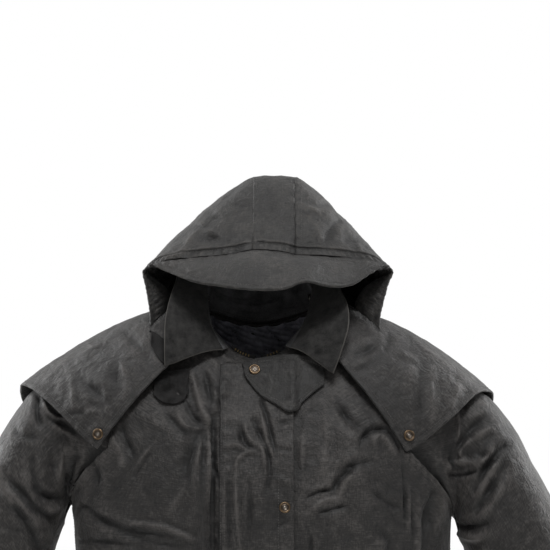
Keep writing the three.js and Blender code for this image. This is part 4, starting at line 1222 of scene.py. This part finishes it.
NECK_TAB_CREASES = [
    (-2, -68, 8, -74, 6, -88, 4, -2.6),
    (8, -60, 18, -72, 14, -90, 4, 2.4),
    (22, -50, 40, -62, 72, -62, 7, 1.8),
    (20, -84, 36, -92, 56, -92, 5, -1.8),
]
DARK_TAB_CREASES = [
    (-134, -70, -118, -78, -96, -74, 5, 3),
    (-130, -88, -114, -84, -94, -92, 4, -3.4),
    (-122, -62, -112, -74, -116, -96, 4, 2.6),
    (-104, -64, -106, -80, -98, -96, 4, -2.6),
    (-138, -14, -132, -24, -130, -40, 3, -1.6),
]


def tab_sheet(shape, tree, rows, cols, lift):
    x = np.linspace(shape["rows"][0, 0], shape["rows"][-1, 0], cols + 1)[None, :]
    r = look(shape, x)
    v = np.linspace(0, 1, rows + 1)[:, None]
    z = mix(r["upper"], r["lower"], v)
    x = x + 0 * z
    y = np.full(z.shape, np.nan)
    for j in range(z.shape[0]):
        for i in range(z.shape[1]):
            for drop in range(0, 60, 2):
                hit = tree.ray_cast(Vector((x[j, i], -500, z[j, i] - drop)), Vector((0, 1, 0)))
                if hit[0] is not None:
                    y[j, i] = hit[0].y + drop / 2
                    break
    first = y.copy()
    for _ in range(30):
        padded = np.pad(y, 1, mode="edge")
        y = (padded[:-2, 1:-1] + padded[2:, 1:-1] + padded[1:-1, :-2] + padded[1:-1, 2:]) / 4
        y = np.minimum(y, first)
    sheet = Sheet(stack(x, y, z), flip=True)
    sheet.p += sheet.n * lift
    sheet.measure()
    return sheet


chest_tree = surface_tree(fly, fronts["left"], fronts["right"])
neck_tab = tab_sheet(NECK_TAB, chest_tree, 30, 60, CLOTH + 1.7)
slow_waves(neck_tab, 1.6, 34, 6.6)
slow_waves(neck_tab, 0.9, 15, 1.7, sharp=0.7)
press(neck_tab, NECK_TAB_CREASES)
across, down = rows_of(neck_tab)
tab_edge = np.minimum(np.minimum(down, down[-1:] - down), np.minimum(across, across[:, -1:] - across))
neck_tab.push(-0.6 * bell((tab_edge - 7) / 1.8), shade_and_wear=0)
neck_tab_piece = finish_cloth("neck_tab_cloth", neck_tab, "neck_tab", "waxed_cotton")
throat_tab = tab_sheet(THROAT_TAB, surface_tree(fronts["left"]), 40, 52, CLOTH + 1.6)
slow_waves(throat_tab, 2.0, 16, 4.1)
press(throat_tab, DARK_TAB_CREASES, strength=1.4)
finish_cloth("throat_tab_cloth", throat_tab, "throat_tab", "dark_cloth")
throat_strap = tab_sheet(THROAT_STRAP, cape_tree, 30, 20, THIN + 1.2)
press(throat_strap, DARK_TAB_CREASES)
finish_cloth("throat_strap_cloth", throat_strap, "throat_strap", "dark_cloth", thick=THIN)

# %% [markdown]
# ## The quilted yoke lining
# Behind the open neck the coat shows its quilted lining: a thin satin layer over wadding, pulled
# down along crossing rows of stitches. The diamonds follow a rule, so a formula raises them and no
# simulation is needed.

# %% Form the lining
QUILT = {"rings": 3, "pitch": 26, "puff": 5.0, "inset": 4.2}


def lining_points(rows=80, cols=140):
    at = np.linspace(0.02, QUILT["rings"] - 0.05, rows + 1)[:, None]
    turn = np.linspace(92, 268, cols + 1)[None, :]
    return body(turn + 0 * at, at + 0 * turn)


lining = Sheet(lining_points(), flip=False)
lining.p += lining.n * QUILT["inset"]
lining.measure()
across, down = rows_of(lining)
first, second = (across + down) / QUILT["pitch"], (across - down) / QUILT["pitch"]
diamond = np.abs(np.sin(np.pi * first) * np.sin(np.pi * second)) ** 0.45
lining.push(diamond * QUILT["puff"] * 0.8, shade_and_wear=0.2)
slow_waves(lining, 1.8, 13, 3.8, sharp=0.4)
lining_piece = sew_up("yoke_lining_quilted", lining, thick=1.0)
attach(lining_piece, "root")
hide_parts("lining_yoke")
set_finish(lining_piece, "lining")
print("quilt diamonds every", QUILT["pitch"], "mm")

# %% [markdown]
# ## Snaps, loops, toggles and the zip's open end
# The antique-brass snap caps are turned parts: a rolled rim, a groove, plain raised rings and a
# small centre dot. A profile spun round its axis makes one, and it is set on the cloth with the
# cloth's own normal. Every cap stands for its CAD node.

# %% Turn the snap caps
SNAP_PROFILE = [
    (0, 2.3), (0.7, 2.25), (1.0, 1.75), (2.6, 1.7), (2.9, 2.05), (3.4, 2.05), (3.7, 1.65),
    (4.9, 1.6), (5.3, 2.3), (6.0, 2.6), (6.8, 2.35), (7.4, 1.5), (7.5, 0.8), (7.2, 0.1), (6.4, 0),
]


def spin_profile(name, profile, place, facing, scale=1.0, sides=40):
    """A turned piece, its axis along facing. Places in mm, made straight in the row frame."""
    facing = Vector(facing).normalized()
    turn = facing.to_track_quat("Z", "Y").to_matrix()
    points, faces = [], []
    ring_start = []
    for radius, height in profile:
        ring_start.append(len(points))
        count = 1 if radius == 0 else sides
        for k in range(count):
            a = 2 * math.pi * k / sides
            local = Vector((radius * math.cos(a), radius * math.sin(a), height)) * scale
            points.append(Vector(place) + turn @ local)
    for r in range(len(profile) - 1):
        a0, b0 = ring_start[r], ring_start[r + 1]
        for k in range(sides):
            n = (k + 1) % sides
            if profile[r][0] == 0:
                faces.append((a0, b0 + k, b0 + n))
            else:
                faces.append((a0 + k, b0 + k, b0 + n, a0 + n))
    last = ring_start[-1]
    faces.append([last + k for k in range(sides)][::-1])
    radii = [profile[ring_start.index(s)][0] for s in ring_start for _ in
             range(1 if profile[ring_start.index(s)][0] == 0 else sides)]
    values = {"rim": np.array(radii) / max(r for r, _ in profile)}
    return build_mesh(name, [tuple(p) for p in points], faces, values=values)


def seat_on(tree, x, z):
    hit = tree.ray_cast(Vector((x, -500, z)), Vector((0, 1, 0)))
    normal = hit[1] if hit[1].y < 0 else -hit[1]
    return hit[0], normal


fly_tree = surface_tree(fly)
tab_tree = surface_tree(neck_tab)
SNAP_PLACES = {f"snap_fly_{k + 1}": (fly_tree, 34.5, -234 - 166 * k) for k in range(6)}
SNAP_PLACES["snap_cape_left"] = (cape_tree, -207, -141)
SNAP_PLACES["snap_cape_right"] = (cape_tree, 195.5, -143)
SNAP_PLACES["snap_neck_tab"] = (tab_tree, -4.5, -58)
snap_pieces = []
for node, (tree, x, z) in SNAP_PLACES.items():
    place, normal = seat_on(tree, x, z)
    cap = spin_profile(f"{node}_turned", SNAP_PROFILE, place, normal)
    snap_pieces.append(cap)
    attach(cap, "root")
    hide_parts(node)
    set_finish(cap, "antique_brass")
small_snaps = []
for node in ("snap_stand_left", "snap_stand_right"):
    low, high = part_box(node)
    middle = (low + high) / 2 / MM
    inward = Vector((0, -60, middle.z)) - middle
    inward.z = 0
    cap = spin_profile(f"{node}_turned", SNAP_PROFILE, middle - inward.normalized() * 0.8,
                       inward, scale=0.62, sides=28)
    small_snaps.append(cap)
    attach(cap, "root")
    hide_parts(node)
    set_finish(cap, "antique_brass")
print(len(snap_pieces), "large snap caps and", len(small_snaps), "small ones")

for side, piece in cords.items():
    line = smooth_route(CORD_ROUTES[side])
    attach(piece, "root")
    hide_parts(f"drawcord_{side}", f"drawcord_tail_{side}")
    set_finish(piece, "cord")
    route_length(line) * MM

# %% [markdown]
# The zip is open at the top, so its two ends turn out along the neck edge and a few brass teeth
# show. Geometry Nodes set one tooth every 2.4 mm along a line, turned to follow it.

# %% Grow brass teeth along the zip's open ends
def line_object(name, lines):
    """Edges along one or more lines in mm, each point with the direction that faces out."""
    points, ups, edges = [], [], []
    for line, normals in lines:
        start_index = len(points)
        points += [tuple(p) for p in np.asarray(line) * MM]
        ups += [tuple(n) for n in normals]
        edges += [(start_index + k, start_index + k + 1) for k in range(len(line) - 1)]
    mesh = bpy.data.meshes.new(name)
    mesh.from_pydata(points, edges, [])
    attribute = mesh.attributes.new("facing", "FLOAT_VECTOR", "POINT")
    attribute.data.foreach_set("vector", np.array(ups, np.float32).ravel())
    made = bpy.data.objects.new(name, mesh)
    bpy.context.scene.collection.objects.link(made)
    return made


def add_node(tree, kind, settings=None, inputs=None):
    """One node with its settings, and its inputs given as values or as sockets to link."""
    node = tree.nodes.new(kind)
    for key, value in (settings or {}).items():
        setattr(node, key, value)
    for key, value in (inputs or {}).items():
        if isinstance(value, bpy.types.NodeSocket):
            tree.links.new(value, node.inputs[key])
        else:
            node.inputs[key].default_value = value
    return node


def along_line_tree(name, shape):
    """Sets a small rounded piece every so often along lines, flat on the cloth."""
    tree = bpy.data.node_groups.new(name, "GeometryNodeTree")
    face = tree.interface
    face.new_socket("Geometry", in_out="INPUT", socket_type="NodeSocketGeometry")
    for label, value in (("Pitch", 0.0036), ("Long", 0.0026), ("Wide", 0.0008),
                         ("Thick", 0.0006), ("Lift", 0.0002)):
        made = face.new_socket(label, in_out="INPUT", socket_type="NodeSocketFloat")
        made.default_value = value
    face.new_socket("Material", in_out="INPUT", socket_type="NodeSocketMaterial")
    face.new_socket("Geometry", in_out="OUTPUT", socket_type="NodeSocketGeometry")
    start_node = add_node(tree, "NodeGroupInput")
    given = start_node.outputs
    curve = add_node(tree, "GeometryNodeMeshToCurve", inputs={"Mesh": given["Geometry"]})
    facing = add_node(tree, "GeometryNodeInputNamedAttribute", {"data_type": "FLOAT_VECTOR"},
                      {"Name": "facing"})
    spaced = add_node(tree, "GeometryNodeResampleCurve", {"mode": "LENGTH"},
                      {"Curve": curve.outputs[0], "Length": given["Pitch"]})
    tangent = add_node(tree, "GeometryNodeInputTangent")
    turned = add_node(tree, "FunctionNodeAlignRotationToVector", {"axis": "X"},
                      {"Vector": tangent.outputs[0]})
    flat = add_node(tree, "FunctionNodeAlignRotationToVector", {"axis": "Z", "pivot_axis": "X"},
                    {"Rotation": turned.outputs[0], "Vector": facing.outputs["Attribute"]})
    if shape == "stitch":
        bead = add_node(tree, "GeometryNodeMeshUVSphere", inputs={"Segments": 5, "Rings": 3,
                                                                  "Radius": 0.5})
    else:
        bead = add_node(tree, "GeometryNodeMeshCube", inputs={"Size": (1, 1, 1)})
    size = add_node(tree, "ShaderNodeCombineXYZ", inputs={
        "X": given["Long"], "Y": given["Wide"], "Z": given["Thick"]})
    set_down = add_node(tree, "GeometryNodeInstanceOnPoints", inputs={
        "Points": spaced.outputs[0], "Instance": bead.outputs["Mesh"],
        "Rotation": flat.outputs[0], "Scale": size.outputs[0]})
    rise = add_node(tree, "ShaderNodeVectorMath", {"operation": "SCALE"},
                    {0: facing.outputs["Attribute"], "Scale": given["Lift"]})
    lifted = add_node(tree, "GeometryNodeTranslateInstances", inputs={
        "Instances": set_down.outputs[0], "Translation": rise.outputs[0], "Local Space": False})
    real = add_node(tree, "GeometryNodeRealizeInstances", inputs={"Geometry": lifted.outputs[0]})
    painted = add_node(tree, "GeometryNodeSetMaterial", inputs={
        "Geometry": real.outputs[0], "Material": given["Material"]})
    add_node(tree, "NodeGroupOutput", inputs={"Geometry": painted.outputs[0]})
    return tree


def run_along(name, lines, tree, material, **sizes):
    """Applies a line tree and returns the result as a plain mesh object."""
    guide = line_object(f"{name}_guide", lines)
    modifier = guide.modifiers.new("along", "NODES")
    modifier.node_group = tree
    for item in tree.interface.items_tree:
        if item.in_out != "INPUT" or item.name == "Geometry":
            continue
        if item.name == "Material":
            modifier[item.identifier] = material
        elif item.name in sizes:
            modifier[item.identifier] = sizes[item.name]
    graph = bpy.context.evaluated_depsgraph_get()
    mesh = bpy.data.meshes.new_from_object(guide.evaluated_get(graph))
    made = bpy.data.objects.new(name, mesh)
    bpy.context.scene.collection.objects.link(made)
    bpy.data.objects.remove(guide)
    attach(made, "root")
    print(name, len(mesh.polygons), "faces")
    return made


# %% [markdown]
# ## Materials
# Every finish is named for what it is. Hex colours are turned from sRGB to linear by one function.
# Waxed cotton: a tight weave soaked in wax. It's dull, it cracks into fine paler lines where it
# bends, and it rubs lighter on ridges; the same ridge attribute also paints highlights on crests
# and shade in troughs, seam grooves and recesses.

# %% Colours and the waxed cotton
def linear(hex_colour):
    """An sRGB hex colour as linear red, green, blue and alpha."""
    parts = [int(hex_colour[k:k + 2], 16) / 255 for k in (1, 3, 5)]
    return (*[c / 12.92 if c <= 0.04045 else ((c + 0.055) / 1.055) ** 2.4 for c in parts], 1)


def new_material(name):
    material = bpy.data.materials.new(name)
    material.use_nodes = True
    material.node_tree.nodes.clear()
    return material, material.node_tree


def close_material(tree, shader):
    add_node(tree, "ShaderNodeOutputMaterial", inputs={"Surface": shader.outputs["BSDF"]})


def ramp(tree, value, stops):
    node = add_node(tree, "ShaderNodeValToRGB", inputs={"Fac": value})
    elements = node.color_ramp.elements
    while len(elements) < len(stops):
        elements.new(0.5)
    for element, (place, colour) in zip(elements, stops):
        element.position = place
        element.color = linear(colour) if isinstance(colour, str) else (*[colour] * 3, 1)
    return node.outputs["Color"]


def waxed_cotton(name, dark, mid, pale, crumple=1.0):
    """Threads drawn about 2.5 mm apart, coarser than the real 0.5 mm, so that they show."""
    material, tree = new_material(name)
    place = add_node(tree, "ShaderNodeTexCoord")
    on_cloth, in_frame = place.outputs["UV"], place.outputs["Object"]
    blotch = add_node(tree, "ShaderNodeTexNoise", inputs={
        "Vector": in_frame, "Scale": 16, "Detail": 5, "Roughness": 0.6})
    rubs = add_node(tree, "ShaderNodeTexNoise", inputs={
        "Vector": in_frame, "Scale": 85, "Detail": 6, "Roughness": 0.68, "Distortion": 0.6})
    cracks = add_node(tree, "ShaderNodeTexNoise", {"noise_type": "RIDGED_MULTIFRACTAL"}, {
        "Vector": in_frame, "Scale": 38, "Detail": 4, "Roughness": 0.5, "Distortion": 0.5})
    slubs = []
    for stretch in ((520, 120, 1), (120, 520, 1)):
        way = add_node(tree, "ShaderNodeMapping", inputs={"Vector": on_cloth, "Scale": stretch})
        slubs.append(add_node(tree, "ShaderNodeTexNoise", inputs={
            "Vector": way.outputs[0], "Scale": 1.0, "Detail": 2, "Roughness": 0.6}))
    threads = add_node(tree, "ShaderNodeMath", {"operation": "ADD"},
                       {0: slubs[0].outputs["Fac"], 1: slubs[1].outputs["Fac"]})
    # Paler on ridges and darker in troughs: rubbed wax on crests, plus painted highlight and painted
    # shade.
    wear_and_crease_shade = add_node(tree, "ShaderNodeAttribute", {"attribute_name": "wear_and_crease_shade"})
    tone = 0.0
    for source, weight in ((blotch.outputs["Fac"], 0.26), (rubs.outputs["Fac"], 0.3),
                           (threads.outputs[0], 0.3), (wear_and_crease_shade.outputs["Fac"], 0.04)):
        tone = add_node(tree, "ShaderNodeMath", {"operation": "MULTIPLY_ADD"},
                        {0: source, 1: weight, 2: tone}).outputs[0]
    colour = ramp(tree, tone, [(0.45, dark), (0.58, mid), (0.76, pale)])
    wrinkles = add_node(tree, "ShaderNodeTexNoise", inputs={
        "Vector": in_frame, "Scale": 60, "Detail": 7, "Roughness": 0.62, "Distortion": 0.8})
    weave_bump = add_node(tree, "ShaderNodeBump", inputs={
        "Strength": 0.7, "Distance": 0.0009, "Height": threads.outputs[0]})
    crack_bump = add_node(tree, "ShaderNodeBump", inputs={
        "Strength": 0.6 * crumple, "Distance": 0.0018, "Height": cracks.outputs["Fac"],
        "Normal": weave_bump.outputs[0]})
    bump = add_node(tree, "ShaderNodeBump", inputs={
        "Strength": 0.8 * crumple, "Distance": 0.0034, "Height": wrinkles.outputs["Fac"],
        "Normal": crack_bump.outputs[0]})
    dull = ramp(tree, rubs.outputs["Fac"], [(0.3, 0.48), (0.7, 0.68)])
    shader = add_node(tree, "ShaderNodeBsdfPrincipled", inputs={
        "Base Color": colour, "Roughness": dull, "Normal": bump.outputs[0], "IOR": 1.45,
        "Sheen Weight": 0.1, "Sheen Roughness": 0.5})
    close_material(tree, shader)
    return material


body_wax = waxed_cotton("dry_waxed_cotton_charcoal", "#0c0b0b", "#232120", "#494644")
# The hood takes a copy of the body's waxed cotton with darker pale tones: painted shade on the hood,
# which the lights reach more.
hood_wax_painted_shade = waxed_cotton("dry_waxed_cotton_hood_painted_shade", "#0e0d0d", "#222120", "#423f3c")
# The neck tab takes a darker copy of the body's waxed cotton: painted shade under the collar.
tab_wax_painted_shade = waxed_cotton("dry_waxed_cotton_tab_painted_shade", "#090808", "#191817", "#393735")
print("waxed cotton ready")

# %% [markdown]
# The collar is napped suede: mottled, almost without shine, and pale along its turned edge. The
# small tabs are plain dark twill, the stand takes a paler copy of that twill as painted light for
# its shaded place under the collar, and the lining is satin with a soft sheen.

# %% Suede, twill, satin, thread, brass and cord
def suede(name, dark, mid, edge_colour):
    material, tree = new_material(name)
    place = add_node(tree, "ShaderNodeTexCoord").outputs["Object"]
    blotch = add_node(tree, "ShaderNodeTexNoise", inputs={
        "Vector": place, "Scale": 60, "Detail": 8, "Roughness": 0.72})
    nap = add_node(tree, "ShaderNodeTexNoise", inputs={
        "Vector": place, "Scale": 900, "Detail": 3, "Roughness": 0.6})
    tone = add_node(tree, "ShaderNodeMath", {"operation": "MULTIPLY_ADD"},
                    {0: nap.outputs["Fac"], 1: 0.4, 2: blotch.outputs["Fac"]})
    colour = ramp(tree, tone.outputs[0], [(0.5, dark), (0.95, mid)])
    edge = add_node(tree, "ShaderNodeAttribute", {"attribute_name": "edge"})
    rubbed = add_node(tree, "ShaderNodeMapRange", inputs={
        "Value": edge.outputs["Fac"], "From Min": 0.3, "From Max": 1.4, "To Min": 1.0,
        "To Max": 0.0})
    painted = add_node(tree, "ShaderNodeMix", {"data_type": "RGBA"}, {
        "Factor": rubbed.outputs[0], 6: colour, 7: linear(edge_colour)})
    bump = add_node(tree, "ShaderNodeBump", inputs={
        "Strength": 0.6, "Distance": 0.0006, "Height": tone.outputs[0]})
    shader = add_node(tree, "ShaderNodeBsdfPrincipled", inputs={
        "Base Color": painted.outputs[2], "Roughness": 0.92, "Normal": bump.outputs[0],
        "Sheen Weight": 0.06, "Sheen Roughness": 0.6, "Specular IOR Level": 0.2})
    close_material(tree, shader)
    return material


def plain_cloth(name, dark, mid, roughness, sheen, scale=700, glint=0.5):
    material, tree = new_material(name)
    place = add_node(tree, "ShaderNodeTexCoord").outputs["Object"]
    grain = add_node(tree, "ShaderNodeTexNoise", inputs={
        "Vector": place, "Scale": scale, "Detail": 3})
    slub = add_node(tree, "ShaderNodeTexNoise", inputs={
        "Vector": place, "Scale": 50, "Detail": 5})
    tone = add_node(tree, "ShaderNodeMath", {"operation": "MULTIPLY_ADD"},
                    {0: grain.outputs["Fac"], 1: 0.5, 2: slub.outputs["Fac"]})
    colour = ramp(tree, tone.outputs[0], [(0.5, dark), (1.0, mid)])
    bump = add_node(tree, "ShaderNodeBump", inputs={
        "Strength": 0.4, "Distance": 0.0005, "Height": tone.outputs[0]})
    shader = add_node(tree, "ShaderNodeBsdfPrincipled", inputs={
        "Base Color": colour, "Roughness": roughness, "Normal": bump.outputs[0],
        "Sheen Weight": sheen, "Specular IOR Level": glint})
    close_material(tree, shader)
    return material


def rubbed_brass(name, rim_colour, face_colour, worn_colour):
    """Antique plating, copper on the rim and rubbed bright in the middle."""
    material, tree = new_material(name)
    place = add_node(tree, "ShaderNodeTexCoord").outputs["Object"]
    radius = add_node(tree, "ShaderNodeAttribute", {"attribute_name": "rim"})
    spots = add_node(tree, "ShaderNodeTexNoise", inputs={
        "Vector": place, "Scale": 420, "Detail": 5, "Roughness": 0.6})
    spread = add_node(tree, "ShaderNodeMath", {"operation": "MULTIPLY_ADD"},
                      {0: spots.outputs["Fac"], 1: 0.5, 2: radius.outputs["Fac"]})
    colour = ramp(tree, spread.outputs[0], [
        (0.3, worn_colour), (0.7, face_colour), (0.95, face_colour), (1.0, rim_colour)])
    rough = ramp(tree, spots.outputs["Fac"], [(0.3, 0.24), (0.75, 0.5)])
    bump = add_node(tree, "ShaderNodeBump", inputs={
        "Strength": 0.3, "Distance": 0.0003, "Height": spots.outputs["Fac"]})
    shader = add_node(tree, "ShaderNodeBsdfPrincipled", inputs={
        "Base Color": colour, "Metallic": 1.0, "Roughness": rough, "Normal": bump.outputs[0]})
    close_material(tree, shader)
    return material


collar_suede = suede("napped_suede_dark", "#0b0b0b", "#3a3938", "#454340")
dark_twill = plain_cloth("plain_twill_black", "#050505", "#2b2a2a", 0.85, 0.0, glint=0.2)
# The stand's twill is a paler copy of the black twill: painted light in its shaded place under the
# collar.
stand_twill_painted_light = plain_cloth("plain_twill_stand_painted_light", "#1f1f20", "#5c5c5e", 0.75, 0.05, glint=0.3)
satin = plain_cloth("quilted_satin_blue_grey", "#3b3b43", "#9c9ca8", 0.36, 0.1, 300)
thread = plain_cloth("waxed_thread_grey", "#2f2e2d", "#575553", 0.7, 0.1)
black_cord = plain_cloth("woven_cord_black", "#0c0c0c", "#1c1c1c", 0.8, 0.3, 1500)
toggle_plastic = plain_cloth("moulded_nylon_black", "#0b0b0b", "#131313", 0.38, 0.0)
brass = rubbed_brass("antique_brass_cap", "#6b5a47", "#4b423a", "#8f8982")
silver = rubbed_brass("worn_nickel_cap", "#8d8a86", "#57534e", "#a9a6a2")
tooth_brass = rubbed_brass("brass_zip_teeth", "#594a30", "#3d3322", "#6a5b40")

FINISH = {
    "waxed_cotton": body_wax, "hood_cloth": hood_wax_painted_shade, "suede": collar_suede,
    "dark_cloth": dark_twill, "lining": satin, "antique_brass": brass, "cord": black_cord,
    "toggle": toggle_plastic, "zip_teeth": dark_twill,
}
for piece in list(bpy.context.scene.objects):
    slot = piece.get("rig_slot")
    if slot:
        piece.data.materials.clear()
        piece.data.materials.append(FINISH[slot])
for name, node in frame["nodes"].items():
    slots = {s["node"]: s["material_slot"] for s in frame["record"]["subparts"]}
    node.data.materials.clear()
    node.data.materials.append(FINISH[slots[name]])
for cap in small_snaps:
    cap.data.materials[0] = silver
# Painted light: the stand takes the paler copy of the twill.
stand_piece.data.materials[0] = stand_twill_painted_light
# Painted shade: the neck tab takes the darker copy of the waxed cotton.
neck_tab_piece.data.materials[0] = tab_wax_painted_shade
print("materials set on", len(frame["nodes"]), "nodes and", len(pieces_made), "cloth pieces")

# %% Set the zip's teeth and the stitches
def at_distance(sheet, distance, side):
    """A line on a sheet at a cloth distance from one edge, with its normals."""
    steps = sheet.heights() if side in ("top", "bottom") else sheet.widths().T
    p = sheet.p if side in ("top", "bottom") else sheet.p.transpose(1, 0, 2)
    n = sheet.n if side in ("top", "bottom") else sheet.n.transpose(1, 0, 2)
    if side in ("bottom", "right"):
        steps, p, n = steps[::-1], p[::-1], n[::-1]
    reach = np.concatenate([np.zeros((1, steps.shape[1])), np.cumsum(steps, 0)], 0)
    line, normals = [], []
    for k in range(p.shape[1]):
        row = min(max(int(np.searchsorted(reach[:, k], distance)) - 1, 0), len(reach) - 2)
        gap = reach[row + 1, k] - reach[row, k]
        t = min(max((distance - reach[row, k]) / max(gap, 1e-6), 0), 1)
        line.append(mix(p[row, k], p[row + 1, k], t))
        normals.append(mix(n[row, k], n[row + 1, k], t))
    return np.array(line), np.array(normals)


teeth_tree = along_line_tree("zip_teeth_along", "tooth")
zip_lines = []
for first_turn, last_turn in ((-9, -22), (9, 18)):
    turn = np.linspace(first_turn, last_turn, 20)
    line = body(turn, 0 * turn)
    away = stack(np.sin(np.radians(turn)), -np.cos(np.radians(turn)), 0 * turn)
    zip_lines.append((line - away * 0.4 + stack(0, 0, 3.4 + 0 * turn), away))
teeth = run_along("zip_teeth_set", zip_lines, teeth_tree, tooth_brass, Pitch=0.0036,
                  Long=0.0011, Wide=0.0028, Thick=0.0014, Lift=0.0008)
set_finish(teeth, "zip_teeth")

stitch_tree = along_line_tree("stitches_along", "stitch")
STITCH = {"Pitch": 0.0036, "Long": 0.0028, "Wide": 0.00085, "Thick": 0.0008, "Lift": 0.0001}
body_lines = [
    at_distance(cape, 8, "bottom"), at_distance(cape, 8, "left"), at_distance(cape, 8, "right"),
    at_distance(fly, 1.5, "left"), at_distance(fly, 7, "left"), at_distance(fly, 20, "right"),
    at_distance(neck_tab, 7, "bottom"), at_distance(neck_tab, 6, "top"),
    at_distance(fronts["left"], 3, "right"), at_distance(fronts["left"], 9, "right"),
    at_distance(fronts["right"], 3, "right"), at_distance(fronts["right"], 9, "right"),
    at_distance(back, 3, "left"), at_distance(back, 3, "right"),
    at_distance(fronts["left"], 22, "bottom"), at_distance(fronts["right"], 22, "bottom"),
    at_distance(back, 22, "bottom"),
]
for distance in (2.5, 6):
    line, normals = at_distance(stand, distance, "top")
    body_lines.append((line - normals * (THIN + 0.2), -normals))
coat_stitches = run_along("coat_stitches", body_lines, stitch_tree, thread, **STITCH)
hood_lines = [
    at_distance(brim, 8, "bottom"), at_distance(brim, 3, "top"), at_distance(brim, 10, "top"),
    at_distance(sides["right"], 3, "right"), at_distance(sides["right"], 9, "right"),
    at_distance(sides["left"], BAND, "top"), at_distance(sides["right"], BAND, "top"),
    at_distance(strip, BAND, "top"),
    at_distance(sides["left"], 9, "left"), at_distance(sides["right"], 9, "left"),
]
hood_stitches = run_along("hood_stitches", hood_lines, stitch_tree, thread, **STITCH)
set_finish(coat_stitches, "waxed_cotton")
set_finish(hood_stitches, "hood_cloth")

# %% [markdown]
# ## Floor and light
# The photograph has a white ground and soft light from all round, a little stronger from above
# and behind, which draws a pale rim along the shoulders. Two long panels behind the sides and one
# large one above the camera give that.

# %% Set the floor and the lights
FLOOR_Z = HEM_Z - 16
floor = build_mesh("pale_floor", [(-14000, -14000, FLOOR_Z), (14000, -14000, FLOOR_Z),
                                  (14000, 14000, FLOOR_Z), (-14000, 14000, FLOOR_Z)], [(0, 1, 2, 3)])
floor_paint, floor_tree = new_material("matt_pale_paint")
floor_shader = add_node(floor_tree, "ShaderNodeBsdfPrincipled", inputs={
    "Base Color": linear("#f2f1ef"), "Roughness": 0.9})
close_material(floor_tree, floor_shader)
floor.data.materials.append(floor_paint)

world = bpy.data.worlds.new("white_band_studio")
world.use_nodes = True
world.node_tree.nodes.clear()
way = add_node(world.node_tree, "ShaderNodeTexCoord").outputs["Generated"]
split = add_node(world.node_tree, "ShaderNodeSeparateXYZ", inputs={"Vector": way})
white_wall = ramp(world.node_tree, add_node(world.node_tree, "ShaderNodeMapRange", inputs={
    "Value": split.outputs["Z"], "From Min": -1.0, "From Max": 1.0}).outputs[0],
    [(0.0, 0.14), (0.42, 0.24), (0.46, 1.0), (0.54, 1.0), (0.6, 0.34), (1.0, 0.6)])
dim_room = ramp(world.node_tree, add_node(world.node_tree, "ShaderNodeMapRange", inputs={
    "Value": split.outputs["Z"], "From Min": -1.0, "From Max": 1.0}).outputs[0],
    [(0.0, 0.12), (0.5, 0.27), (0.7, 0.34), (1.0, 0.55)])
behind = add_node(world.node_tree, "ShaderNodeMapRange", inputs={
    "Value": split.outputs["Y"], "From Min": -0.1, "From Max": 0.3})
dome = add_node(world.node_tree, "ShaderNodeMix", {"data_type": "RGBA"}, {
    "Factor": behind.outputs[0], 6: dim_room, 7: white_wall})
sky = add_node(world.node_tree, "ShaderNodeBackground",
               inputs={"Color": dome.outputs[2], "Strength": 1.0})
add_node(world.node_tree, "ShaderNodeOutputWorld", inputs={"Surface": sky.outputs[0]})
bpy.context.scene.world = world
bpy.context.scene.view_settings.view_transform = "Standard"

LIGHTS = {
    "above_front": ((0.3, -1.9, 3.1), (0, 0, -0.05), (1.5, 0.9), 82),
    "left_behind": ((-2.3, 1.3, 0.9), (-0.2, 0, -0.1), (0.5, 2.4), 60),
    "right_behind": ((2.3, 1.3, 0.9), (0.2, 0, -0.1), (0.5, 2.4), 60),
}
for name, (place, target, (wide, tall), power_w) in LIGHTS.items():
    light = bpy.data.lights.new(name, "AREA")
    light.shape = "RECTANGLE"
    light.size, light.size_y, light.energy = wide, tall, power_w
    lamp = bpy.data.objects.new(name, light)
    lamp.location = place
    lamp.rotation_euler = (Vector(target) - Vector(place)).to_track_quat("-Z", "Y").to_euler()
    bpy.context.scene.collection.objects.link(lamp)
print("lights", list(LIGHTS))

# %% Look for pieces without a wall
for piece in pieces_made:
    if "wall" not in piece.modifiers:
        print(piece.name, "has no wall")
